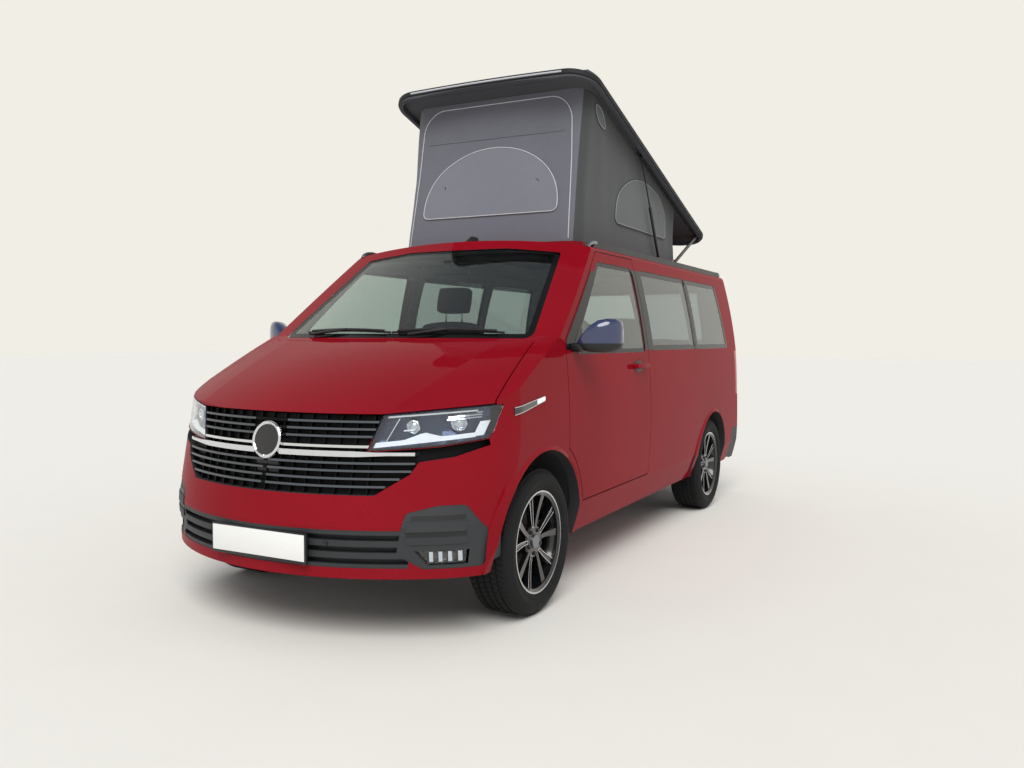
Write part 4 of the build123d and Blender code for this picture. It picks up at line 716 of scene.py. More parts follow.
class CAMPER_OT_raise_tent(bpy.types.Operator):
    """Cloth bellows of the pop-up roof, with its windows, seams and piping"""
    bl_idname = "camper.raise_tent"
    bl_label = "Raise Tent"

    def execute(self, context):
        _, sizes = chosen()
        bm = bmesh.new()
        foot = [Vector((x, y, TENT_FOOT_Z)) for x, y in rounded_plan(*TENT_FOOT)]
        head = [raised((x, y, TENT_HEAD_Z)) for x, y in rounded_plan(*TENT_HEAD)]
        edges = []
        for line in (foot, head):
            ring = [bm.verts.new(point) for point in line]
            edges += [bm.edges.new(pair) for pair in zip(ring, ring[1:] + ring[:1])]
        rungs = bmesh.ops.bridge_loops(bm, edges=edges)["edges"]
        bmesh.ops.subdivide_edges(bm, edges=rungs, cuts=30, use_grid_fill=True)
        bmesh.ops.recalc_face_normals(bm, faces=bm.faces)
        outwards = 0.0
        for face in bm.faces:
            x, y, _ = face.calc_center_median()
            outwards += face.normal.dot(Vector((x + 0.55, y, 0)))
        if outwards < 0:
            bmesh.ops.reverse_faces(bm, faces=bm.faces)
        bm.normal_update()
        flat_area = sum(face.calc_area() for face in bm.faces)
        self.crumple(bm, sizes.fold_depth)
        cloth = bm.loops.layers.uv.new("cloth")
        for face in bm.faces:
            # faces that look forward take the lighter cloth as painted light, all others the darker cloth as
            # painted shade
            front = face.normal.x > 0.72
            face.material_index = 0 if front else 1
            for loop in face.loops:
                x, y, z = loop.vert.co
                loop[cloth].uv = (y, z) if front or face.normal.x < -0.72 else (x, z)
        bm.normal_update()
        tree = BVHTree.FromBMesh(bm)
        tent = settle(bm, "tent_cloth", "van", ["cloth_front_painted_lit", "cloth_side_painted_shade"],
                      ["roof_tent"], sharp=80.0)

        extras = []

        def sew(name, line, closed, finish="piping_cord", radius=sizes.piping_radius):
            extras.append(cord(name, line, radius, "van", finish, closed))

        # side windows take the darker cloth and cord, painted shade of the front window's
        def window(name, outline, way, finish="window_side_painted_shade", piping="side_cord_painted_shade"):
            sheet = patch(outline, tree, way, WINDOW_LIFT, WINDOW_RINGS)
            cloth = sheet.loops.layers.uv.new("cloth")
            for face in sheet.faces:
                for loop in face.loops:
                    x, y, z = loop.vert.co
                    loop[cloth].uv = (y if abs(way.x) > 0.5 else x, z)
            extras.append(settle(sheet, name, "van", [finish], sharp=80.0))
            sew(name + "_piping", laid(tree, outline, way, WINDOW_LIFT + 0.0002), True, piping)

        # front: half-moon window, arched border and the seam above the window
        moon = [Vector((FRONT_MOON_X, across, up)) for across, up in half_moon(*FRONT_MOON)]
        window("front_window", moon, -FORWARD, "window_front_painted_lit", "piping_cord")
        half = [(0.560 - 0.032 * k / 36, 1.90 + 0.02 * k) for k in range(36)]
        half += [(0.378 + 0.15 * cos(radians(a)), 2.62 + 0.165 * sin(radians(a))) for a in range(0, 90, 9)]
        half += [(0.378 - 0.042 * k, 2.785) for k in range(10)]
        arch = [Vector((0.0, -y, z)) for y, z in half] + [Vector((0.0, y, z)) for y, z in half[::-1]]
        sew("front_border", laid(tree, arch, -FORWARD, 0.0028), False)
        seam = laid(tree, row(steps(-0.48, 0.48, 48), 2.565), -FORWARD, 0.0005)
        sew("front_seam", seam, False, "cloth_front_painted_lit", 0.0032)
        # sides: skewed half-moon window and a leaf-shaped vent by the front top corner
        for side, sign in SIDES:
            way = LEFT * -sign
            moon = [Vector((SIDE_MOON_X + across, sign, up)) for across, up in half_moon(*SIDE_MOON)]
            window("side_window_" + side, moon, way)
            leaf = []
            for turn in steps(0.0, 2 * pi, 40)[:-1]:
                along, off = 0.094 * cos(turn), 0.042 * sin(turn) * (1 - 0.35 * cos(turn) ** 2)
                x, z = 0.110 + along * 0.80 - off * 0.60, 2.678 + along * 0.60 + off * 0.80
                leaf.append(Vector((x, sign, z)))
            window("side_vent_" + side, leaf, way)
        for piece in [tent, *extras]:
            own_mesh(piece)
        return {"FINISHED"}

    def crumple(self, bm, depth):
        """Slack cloth draws in at half height, gathers in upright folds and pulls towards its top corners."""
        top = raised((0.0, 0.0, TENT_HEAD_Z))
        moves = {}
        for vert in bm.verts:
            x, y, z = vert.co
            head = top.z + (x - top.x) * tan(ROOF_TILT)
            share = min(1.0, max(0.0, (z - TENT_FOOT_Z) / (head - TENT_FOOT_Z)))
            hold = sin(pi * share) ** 0.7 if 0 < share < 1 else 0.0
            slack = -0.011 * sin(pi * share)
            fold = noise.noise(Vector((x * 2.6, y * 2.6, z * 0.9)))
            fold += 0.5 * noise.noise(Vector((x * 7.0, y * 7.0, z * 1.6)))
            crease = abs(noise.noise(Vector((x * 5.0 + z * 3.0, y * 5.0 + z * 4.0, z * 6.0))))
            fold += 0.35 * (0.25 - crease)
            pull = 0.35 * sin(abs(y) * 9.0 + z * 7.0) * share ** 2 * (1.0 if abs(y) < 0.5 else 0.3)
            moves[vert] = vert.normal * (hold * (slack + depth * (fold + pull)))
        for vert, move in moves.items():
            vert.co += move


SEAL_PLAN = (0.5215, -2.1185, 0.7065)   # front x, rear x and half width of the shell's lip, as it lies shut
# name, height and growth of the seal's three ribs
SEAL_RIBS = (("shell_seal", 1.8840, 0.0), ("shell_seal_middle", 1.8930, 0.0005),
             ("shell_seal_top", 1.9020, 0.0))
RAIL_Y = 0.779
# x and rise over the roof of the rails' front ends
RAIL_END = ((0.545, 0.024), (0.575, 0.024), (0.605, 0.021), (0.630, 0.015), (0.650, 0.006), (0.664, -0.006))


class CAMPER_OT_trim_roof(bpy.types.Operator):
    """Seal and edge cord of the raised shell, rail ends and the fin aerial"""
    bl_idname = "camper.trim_roof"
    bl_label = "Trim Roof"

    def execute(self, context):
        # ribbed rubber seal round the lip, and the pale edge cord along its front
        front, rear, half = SEAL_PLAN
        for name, level, grow in SEAL_RIBS:
            plan = rounded_plan(front + grow, rear - grow, half + grow, 0.170, (18, 12, 60, 30))
            rim = [raised((x, y, level + self.crown(y))) for x, y in plan]
            cord(name, rim, 0.0080, "roof_shell", "seal_rubber", True)
        edge = [raised((0.5285, y, 1.8905 + self.crown(y))) for y in steps(-0.535, 0.525, 53)]
        cord("shell_edge_cord", edge, 0.0060, "roof_shell", "piping_cord")
        roof = surface("roof_panel", "screen_frame")
        tails = bmesh.new()
        for side, sign in SIDES:
            line = [laid(roof, [Vector((x, sign * RAIL_Y, 0.0))], -UP)[0] + UP * rise for x, rise in RAIL_END]
            cord("rail_end_" + side, line, 0.0135, "van", "anodised_aluminium")
            slab(tails, (-2.150, sign * RAIL_Y, 1.846), (0.060, 0.026, 0.026), 0.008,
                 Matrix.Rotation(radians(-14), 4, "Y"))
        settle(tails, "rail_tails", "van", ["anodised_aluminium"])
        # fin aerial: a cube drawn out to a swept fin
        bm = bmesh.new()
        place = Matrix.Translation((0.62, 0, 1.895)) @ Matrix.Diagonal((0.15, 0.055, 0.055, 1))
        for vert in bmesh.ops.create_cube(bm, size=1.0, matrix=place)["verts"]:
            if vert.co.z > 1.895:
                vert.co.y *= 0.3
                vert.co.x = 0.585 + (vert.co.x - 0.62) * 0.42
        round_edges(bm, bm.edges[:], 0.007, 3)
        settle(bm, "fin_aerial", "van", ["satin_black_abs"])
        return {"FINISHED"}

    def crown(self, y):
        """Rise of the fixed roof under the shell's lip, which the lip follows."""
        return 0.015 * (1 - (y / 0.71) ** 2)


# Wheels

# radius and reach from the middle
TYRE_WALL = ((0.2290, 0.0880), (0.2440, 0.0930), (0.2485, 0.1040), (0.2540, 0.1075), (0.2600, 0.1095),
             (0.2630, 0.1130), (0.2660, 0.1110), (0.2830, 0.1170), (0.2940, 0.1165), (0.2960, 0.1175),
             (0.2990, 0.1160), (0.3170, 0.1105), (0.3290, 0.1020))
TYRE_CAVITY = ((0.300, -0.094), (0.318, -0.070), (0.318, 0.070), (0.300, 0.094))
TREAD_RIBS = ((-0.088, -0.056), (-0.047, -0.021), (-0.012, 0.012), (0.021, 0.047), (0.056, 0.088))
RIM_BARREL = ((0.2430, 0.1025), (0.2430, 0.0945), (0.2280, 0.0885), (0.2280, 0.0585), (0.2120, 0.0405),
              (0.2120, -0.0405), (0.2280, -0.0585), (0.2280, -0.0885), (0.2430, -0.0945), (0.2430, -0.1025),
              (0.2330, -0.1025), (0.2180, -0.0785), (0.2020, -0.0405), (0.2020, 0.0405), (0.2180, 0.0685),
              (0.2210, 0.0930), (0.2350, 0.1025))
RIM_HUB = ((0.0, 0.052), (0.080, 0.052), (0.080, 0.066), (0.074, 0.073), (0.040, 0.076), (0.0, 0.076))
RIM_CAP = ((0.0, 0.074), (0.0335, 0.074), (0.0335, 0.083), (0.030, 0.0865), (0.0, 0.0885))
RIM_BOLT = ((0.0, 0.070), (0.0125, 0.070), (0.0125, 0.0715), (0.0095, 0.0725), (0.0095, 0.0815),
            (0.0085, 0.083), (0.0, 0.083))
BOLT_CIRCLE = 0.058
SPOKE_REACH = (0.066, 0.2215)


class CAMPER_OT_fit_tyres(bpy.types.Operator):
    """Road tyres with ribs, blocks and slanted grooves"""
    bl_idname = "camper.fit_tyres"
    bl_label = "Fit Tyres"

    def execute(self, context):
        _, sizes = chosen()
        for name, sign in WHEELS:
            low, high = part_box("tyre_" + name)
            base = (high.z - low.z) / 2 - sizes.tread_depth
            wall = [*TYRE_WALL, (base - 0.0030, 0.0940)]
            crown = [(base, y) for rib in reversed(TREAD_RIBS) for y in reversed(rib)]
            profile = wall + crown + [(r, -y) for r, y in reversed(wall)] + list(TYRE_CAVITY)
            bm = bmesh.new()
            lathe(bm, profile, (0, 0, 0), LEFT, sizes.tread_pitches, closed=True)
            blocks = []
            for face in bm.faces:
                reach = [hypot(vert.co.x, vert.co.z) for vert in face.verts]
                across = face.calc_center_median().y
                if min(reach) > base - 0.001 and any(a < across < b for a, b in TREAD_RIBS):
                    blocks.append(face)
            bmesh.ops.inset_individual(bm, faces=blocks, thickness=0.0017, depth=sizes.tread_depth - 0.0005,
                                       use_even_offset=True)
            for vert in bm.verts:
                slant = 0.085 * sign * min(abs(vert.co.y), 0.088) / 0.088
                vert.co = Matrix.Rotation(slant, 3, "Y") @ vert.co
            bmesh.ops.translate(bm, vec=(low + high) / 2, verts=bm.verts)
            settle(bm, "road_tyre_" + name, "wheel_" + name, ["tyre_rubber"], ["tyre_" + name],
                   sharp=32.0)
        return {"FINISHED"}


class CAMPER_OT_fit_rims(bpy.types.Operator):
    """Two-tone rims: black barrels and pockets, turned faces, bolts and plain caps"""
    bl_idname = "camper.fit_rims"
    bl_label = "Fit Rims"

    def execute(self, context):
        _, sizes = chosen()
        finishes = ["gloss_black_rim_paint", "diamond_turned_alloy", "satin_black_abs", "anodised_aluminium"]
        for name, sign in WHEELS:
            low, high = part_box("tyre_" + name)
            bm = bmesh.new()
            lathe(bm, RIM_BARREL, (0, 0, 0), LEFT, 80, closed=True)
            for face in bm.faces:
                place = face.calc_center_median()
                if place.y > 0.097 and hypot(place.x, place.z) > 0.2372:
                    face.material_index = 1
            lathe(bm, RIM_HUB, (0, 0, 0), LEFT, 60)
            lathe(bm, RIM_CAP, (0, 0, 0), LEFT, 40, index=3)
            for turn in steps(0.0, 2 * pi, sizes.spoke_pairs)[:-1]:
                bolt = Matrix.Rotation(turn + pi / sizes.spoke_pairs, 3, "Y") @ (UP * BOLT_CIRCLE)
                lathe(bm, RIM_BOLT, (bolt.x, 0, bolt.z), LEFT, 12, index=2)
                for hand in (-1.0, 1.0):
                    self.blade(bm, turn, hand)
            turn = Matrix.Identity(4) if sign > 0 else Matrix.Rotation(pi, 4, "Z")
            bmesh.ops.transform(bm, matrix=Matrix.Translation((low + high) / 2) @ turn, verts=bm.verts)
            settle(bm, "alloy_rim_" + name, "wheel_" + name, finishes, ["rim_" + name],
                   sharp=30.0)
        return {"FINISHED"}

    def blade(self, bm, turn, hand):
        """One of a pair of spokes: a cube drawn out from hub to barrel, black pocket, turned edges."""
        one = bmesh.new()
        bmesh.ops.create_cube(one, size=1.0)
        upright = [edge for edge in one.edges if abs(edge.verts[0].co.z - edge.verts[1].co.z) > 0.5]
        bmesh.ops.subdivide_edges(one, edges=upright, cuts=3)
        start, stop = SPOKE_REACH
        for vert in one.verts:
            share = max(0.0, vert.co.z + 0.5)
            near, far = 0.0040 + 0.0440 * share ** 1.2, 0.0230 + 0.0640 * share ** 1.2
            back, front = 0.050 + 0.012 * share, 0.0745 + 0.0150 * share ** 1.6
            vert.co = (hand * (near if vert.co.x < 0 else far), back if vert.co.y < 0 else front,
                       start + (stop - start) * share)
        bmesh.ops.recalc_face_normals(one, faces=one.faces)
        shown = [face for face in one.faces if face.normal.y > 0.7]
        inset = {"faces": shown, "use_even_offset": True, "use_boundary": True}
        for face in bmesh.ops.inset_region(one, thickness=0.0042, depth=0.0, **inset)["faces"]:
            face.material_index = 1
        bmesh.ops.inset_region(one, thickness=0.0008, depth=-0.0040, **inset)
        bmesh.ops.rotate(one, cent=(0, 0, 0), matrix=Matrix.Rotation(turn, 3, "Y"), verts=one.verts)
        mesh = bpy.data.meshes.new("blade")
        one.to_mesh(mesh)
        one.free()
        bm.from_mesh(mesh)
        bpy.data.meshes.remove(mesh)


# Lamps and nose

LAMP_INNER = (Vector((0.468, 0.8285)), Vector((0.518, 0.980)))   # low and high corner, as (y, z)
LAMP_OUTER = (Vector((0.884, 0.880)), Vector((0.906, 1.012)))
# shares along and up the lamp, radius, and corners of the ring of each projector
PROJECTORS = ((0.335, 0.62, 0.024, 6), (0.74, 0.60, 0.027, 8))
# radius as a share of the projector's, and reach
PROJECTOR_RING = ((0.86, 0.0), (1.25, 0.004), (1.32, 0.012), (1.18, 0.014), (0.95, 0.008))
PROJECTOR_LENS = ((0.0, 0.012), (0.5, 0.010), (0.86, 0.002), (0.86, -0.004), (0.0, -0.004))
FOG_SEGMENTS = (0.715, 0.747, 0.779, 0.811)
FOG_LEVELS = (0.366, 0.388, 0.409)
FOG_TOP = 0.7   # the fog lamps lie below this height, the headlamps above it
REPEATER_FRONT = 1.842


class CAMPER_OT_fit_headlamps(bpy.types.Operator):
    """Headlamps and fog lamps: shells, light guides, projectors and clear covers; side repeaters"""
    bl_idname = "camper.fit_headlamps"
    bl_label = "Fit Headlamps"

    def execute(self, context):
        skin = surface("headlamps")
        covers = skin_copy("headlamps", lambda normal, middle: normal.x > 0.05)
        bmesh.ops.inset_region(covers, faces=covers.faces[:], thickness=0.0022, depth=0.0,
                               use_even_offset=True, use_boundary=True)
        rims = [face for face in covers.faces if any(edge.is_boundary for edge in face.edges)]
        bmesh.ops.delete(covers, geom=rims, context="FACES")
        bmesh.ops.solidify(covers, geom=covers.faces[:], thickness=0.0025)
        settle(covers, "lamp_covers", "van", ["clear_polycarbonate"], ["headlamps"])
        for name, finish, fog in (("lamp_shells", "blue_grey_lamp_shell", False),
                                  ("fog_shells", "smoked_black_lens", True)):
            shells = skin_copy("headlamps", lambda normal, middle: (
                normal.x <= 0.05 and (middle.z < FOG_TOP) == fog))
            bmesh.ops.solidify(shells, geom=shells.faces[:], thickness=-0.0008)
            settle(shells, name, "van", [finish])
        for side, sign in SIDES:
            self.fill_lamp(skin, side, sign)
            # fog lamp: four upright bright segments
            bm = bmesh.new()
            for y in FOG_SEGMENTS:
                strip(bm, skin, -FORWARD, upright(sign * y, FOG_LEVELS),
                      upright(sign * (y + 0.013), FOG_LEVELS), -0.010, -0.004)
            settle(bm, "fog_segments_" + side, "van", ["lamp_reflector"])
            self.fit_repeater(side, sign)
        return {"FINISHED"}

    def fill_lamp(self, skin, side, sign):
        """Light guides, projectors and bright bands behind a headlamp's cover."""
        def at(s, t, depth):
            low, high = (near.lerp(far, s) for near, far in zip(LAMP_INNER, LAMP_OUTER))
            y, z = low.lerp(high, t)
            return laid(skin, [Vector((0.0, sign * y, z))], -FORWARD, -depth)[0]

        def band(lower, upper, thick=0.004):
            ribbon(bm, [at(*spot) for spot in lower], [at(*spot) for spot in upper], thick, -FORWARD)

        bm = bmesh.new()
        run = steps(0.04, 0.90, 22)
        fin = [0.235 + 0.17 * max(0.0, 1 - abs(s - 0.46) / 0.16) for s in run]
        band([(s, 0.09, 0.010) for s in run], [(s, t, 0.013) for s, t in zip(run, fin)], 0.006)
        rise = steps(0.12, 0.58, 6)
        band([(0.885 + 0.03 * (t - 0.12), t, 0.012) for t in rise],
             [(0.955 + 0.02 * (t - 0.12), t, 0.012) for t in rise], 0.006)
        run = steps(0.26, 0.36, 2)
        band([(s, 0.50, 0.020) for s in run], [(s, 0.535, 0.020) for s in run])
        settle(bm, "light_guides_" + side, "van", ["frosted_light_guide"])

        bm = bmesh.new()
        run = steps(0.05, 0.85, 16)
        band([(s, 0.915, 0.010) for s in run], [(s, 0.965, 0.010) for s in run])
        band([(0.135, 0.26, 0.012), (0.165, 0.88, 0.012)], [(0.145, 0.26, 0.012), (0.178, 0.88, 0.012)])
        for s, t, radius, corners in PROJECTORS:
            seat = at(s, t, 0.034)
            aim = Vector((1.0, sign * (0.15 + 0.7 * s), 0.0))
            lathe(bm, [(radius * r, reach) for r, reach in PROJECTOR_RING], seat, aim, corners, closed=True)
            lathe(bm, [(radius * r, reach) for r, reach in PROJECTOR_LENS], seat, aim, 28, index=1)
        run = steps(0.62, 0.90, 6)
        for t, depth in ((0.70, 0.014), (0.78, 0.018), (0.86, 0.022)):
            band([(s, t, depth) for s in run], [(s, t + 0.045, depth + 0.002) for s in run])
        settle(bm, "lamp_modules_" + side, "van", ["lamp_reflector", "silvered_glass"])

    def fit_repeater(self, side, sign):
        """Side repeater behind the lamp, on the wing, with a lit tip and bright edges."""
        wing = surface("front_wings")
        way = LEFT * -sign
        run = steps(REPEATER_FRONT, REPEATER_FRONT - 0.286, 14)

        def line(z, slope, places):
            return [Vector((x, sign, z + (REPEATER_FRONT - x) * slope)) for x in places]

        lower = laid(wing, line(0.968, 0.165, run), way, 0.0005)
        upper = laid(wing, line(1.003, 0.125, run), way, 0.0005)
        bm = bmesh.new()
        ribbon(bm, lower, upper, 0.0035, -way)
        strip(bm, wing, way, line(0.972, 0.165, run[10:]), line(0.999, 0.125, run[10:]), 0.003, 0.003, 1)
        for edge, shift in ((lower, 0.0), (upper, -0.0028)):
            low = [p + UP * shift - way * 0.003 for p in edge]
            ribbon(bm, low, [p + UP * 0.0028 for p in low], 0.0015, -way, 2)
        settle(bm, "side_repeater_" + side, "van",
               ["smoked_black_lens", "frosted_light_guide", "bright_chrome"])


# half width, low and high z of the grille's slats
GRILLE_SLATS = ((0.52, 0.885, 0.894), (0.52, 0.916, 0.925), (0.52, 0.947, 0.956), (0.66, 0.775, 0.784),
                (0.64, 0.743, 0.752), (0.62, 0.711, 0.720), (0.60, 0.679, 0.688))
# radius and reach
DISC_RING = ((0.0665, 0.001), (0.0665, 0.006), (0.0700, 0.0095), (0.0765, 0.0095), (0.0805, 0.0060),
             (0.0805, -0.004), (0.0665, -0.004))
DISC_FACE = ((0.0, 0.0055), (0.030, 0.0050), (0.0670, 0.0030), (0.0670, -0.002), (0.0, -0.002))
SENSOR = ((0.0, 0.0025), (0.0075, 0.0020), (0.0090, 0.0), (0.0115, 0.0012), (0.0125, -0.002), (0.0, -0.002))
SENSOR_PLACES = ((0.735, 0.528), (-0.735, 0.528), (0.330, 0.448), (-0.330, 0.448))
# low and high z, near and far y, thickness and finish of the bars of a corner pad, and of the dark strips
# above them that are painted shade of the recesses
PAD_BARS = ((0.5000, 0.5420, 0.645, 0.850, 0.006, 0), (0.4460, 0.4780, 0.645, 0.850, 0.006, 0),
            (0.5480, 0.5660, 0.660, 0.840, 0.001, 1), (0.4840, 0.4960, 0.645, 0.845, 0.001, 1))


class CAMPER_OT_dress_nose(bpy.types.Operator):
    """Plain disc, sensor panels, slat edges, bright strip, parking sensors, pad bars and blank front plate"""
    bl_idname = "camper.dress_nose"
    bl_label = "Dress Nose"

    def execute(self, context):
        _, sizes = chosen()
        chrome = surface("grille_chrome")
        spot = laid(chrome, row([0.0], 0.864), -FORWARD)[0]
        lean = Vector((1.0, 0.0, 0.2))
        bm = bmesh.new()
        lathe(bm, DISC_RING, spot, lean, 72, closed=True)
        lathe(bm, DISC_FACE, spot, lean, 72, index=1)
        settle(bm, "plain_disc", "van", ["bright_chrome", "gloss_black_abs"])

        grille = surface("grille", "grille_chrome")
        bm = bmesh.new()
        deep = min(p.x for p in laid(grille, row(steps(-0.062, 0.062, 4), 0.7585), -FORWARD))
        for z in (0.7635, 0.7315):
            slab(bm, (deep + 0.012, 0.0, z), (0.010, 0.124, 0.021), 0.002)
        settle(bm, "sensor_panels", "van", ["satin_black_abs"])

        # satin front edges of the slats, where there is a slat at both heights, clear of the disc
        bars = surface("grille")
        bm = bmesh.new()
        for half, low, high in GRILLE_SLATS:
            for _, sign in SIDES:
                run = []
                for k in range(round(half * 100)):
                    y = sign * (0.012 + 0.010 * k)
                    there = all(bars.ray_cast(Vector((RAY_START, y, z)), -FORWARD)[0] for z in (low, high))
                    if there and (high < 0.80 or abs(y) > 0.09):
                        run.append(y)
                strip(bm, bars, -FORWARD, row(run, low), row(run, high), 0.0003, 0.0025)
        settle(bm, "slat_edges", "van", ["slat_paint"])

        # lower bright strip, deep at the disc and drawn to a point at each end
        bm = bmesh.new()
        run = steps(0.070, 0.645, 30)
        taper = [max(0.0, (y - 0.42) / 0.225) for y in run]
        for _, sign in SIDES:
            spots = laid(chrome, row([sign * y for y in run], 0.8190), -FORWARD)
            spine = [p + FORWARD * 0.001 for p in spots]
            low = [p - UP * (0.0130 - 0.0110 * t) for p, t in zip(spine, taper)]
            high = [p + UP * (0.0110 - 0.0050 * min(1.0, 2 * t)) for p, t in zip(spine, taper)]
            ribbon(bm, low, high, 0.003, FORWARD)
        settle(bm, "chrome_blade", "van", ["bright_chrome"])

        trim = surface("bumper_trim", "front_bumper")
        bm = bmesh.new()
        for y, z in SENSOR_PLACES:
            lathe(bm, SENSOR, laid(trim, row([y], z), -FORWARD)[0], Vector((1.0, y * 0.75, 0.0)), 20)
        settle(bm, "parking_sensors", "van", ["satin_black_abs"])

        # two bars across each corner pad, with a dark strip above each as painted shade of a recess
        bm = bmesh.new()
        for _, sign in SIDES:
            for low, high, near, far, thick, index in PAD_BARS:
                run = steps(sign * near, sign * far, 24)
                strip(bm, trim, -FORWARD, row(run, low), row(run, high), 0.0003, thick, index)
        settle(bm, "pad_bars", "van", ["grained_polypropylene", "satin_black_abs"])

        bm = bmesh.new()
        wide, tall = sizes.plate_width, sizes.plate_height
        slab(bm, (2.4335, 0.0, 0.4230), (0.016, wide + 0.016, tall + 0.022), 0.004, index=1)
        slab(bm, (2.4425, 0.0, 0.4260), (0.003, wide, tall), 0.0012)
        slab(bm, (2.4150, 0.0, 0.4230), (0.040, wide * 0.6, tall * 0.6), 0.004, index=1)
        settle(bm, "front_plate", "van", ["plate_white", "satin_black_abs"])
        return {"FINISHED"}


# Glass

# name, node, body, middle x, and the most that each cover reaches back and ahead of it
PILLARS = (
    ("door_pillar_left", "door_left", "door_left", 0.060, 0.026, 0.030),
    ("wall_pillar_left", "body_sides", "van", -0.030, 0.030, 0.060),
    ("rear_pillar_left", "body_sides", "van", -1.040, 0.035, 0.035),
    ("door_pillar_right", "door_right", "door_right", 0.060, 0.026, 0.030),
    ("wall_pillar_right", "sliding_door", "van", -0.030, 0.030, 0.060),
    ("slide_pillar_right", "sliding_door", "van", -1.028, 0.015, 0.035),
    ("rear_pillar_right", "body_sides", "van", -1.052, 0.035, 0.015),
)


class CAMPER_OT_edge_glass(bpy.types.Operator):
    """Black borders printed on the panes, pillar covers and the header band of the windscreen"""
    bl_idname = "camper.edge_glass"
    bl_label = "Edge Glass"

    def execute(self, context):
        _, sizes = chosen()
        wide = sizes.frit_width

        def outwards(middle):
            return Vector((0.0, 1.0 if middle.y > 0 else -1.0, 0.12))

        border("windscreen", "screen_border", "van", wide * 1.5, lambda middle: Vector((0.58, 0.0, 0.81)))
        border("side_glass", "side_borders", "van", wide * 1.4, outwards)
        for side, _ in SIDES:
            border("door_glass_" + side, "door_border_" + side, "door_" + side, wide, outwards)
        border("tailgate_glass", "tail_border", "tailgate", wide * 1.4,
               lambda middle: Vector((-1.0, 0.0, 0.1)))
        bm = bmesh.new()
        run = steps(-0.60, 0.60, 24)
        strip(bm, surface("windscreen"), -FORWARD, row(run, 1.742), row(run, 1.783), -0.0075, -0.002)
        settle(bm, "header_band", "van", ["black_glass_print"])

        # covers on the pillars between the windows, as wide as the panel is there
        for name, node, body, middle, back, ahead in PILLARS:
            side = name.split("_")[-1]
            sign = dict(SIDES)[side]
            way = LEFT * -sign
            panel = surface(node)
            skin = surface(node, "side_glass" if body == "van" else "door_glass_" + side)
            near, far = [], []
            for z in steps(1.238, 1.728, 12):
                for line, step, most in ((near, -MM, back), (far, MM, ahead)):
                    x = middle
                    while (abs(x - middle) < most
                           and panel.ray_cast((x, sign * RAY_START, z), way, HALF_VAN)[0]):
                        x += step
                    line.append(Vector((x - step, sign, z)))
            bm = bmesh.new()
            strip(bm, skin, way, near, far, 0.0004, 0.0018)
            settle(bm, name, body, ["black_glass_print"])
        return {"FINISHED"}


# Body trim

# y, front x, rear x, low and high z of the mirror's ribs, from its foot outwards
MIRROR_RIBS = (
    (0.952, 1.204, 1.168, 1.262, 1.290),
    (0.974, 1.212, 1.132, 1.248, 1.328),
    (1.006, 1.206, 1.096, 1.240, 1.372),
    (1.046, 1.194, 1.072, 1.237, 1.400),
    (1.090, 1.174, 1.060, 1.238, 1.408),
    (1.124, 1.148, 1.056, 1.244, 1.406),
    (1.145, 1.118, 1.060, 1.258, 1.392),
    (1.151, 1.100, 1.070, 1.285, 1.365),
)
SKIRT_TOP = 1.283   # z where the mirror's black skirt meets its cap
# corners of the black cover between the mirror's foot and the window, as (x, z)
MIRROR_COVER = ((1.030, 1.231), (1.118, 1.231), (1.168, 1.262), (1.148, 1.292), (1.040, 1.385),
                (1.030, 1.360))


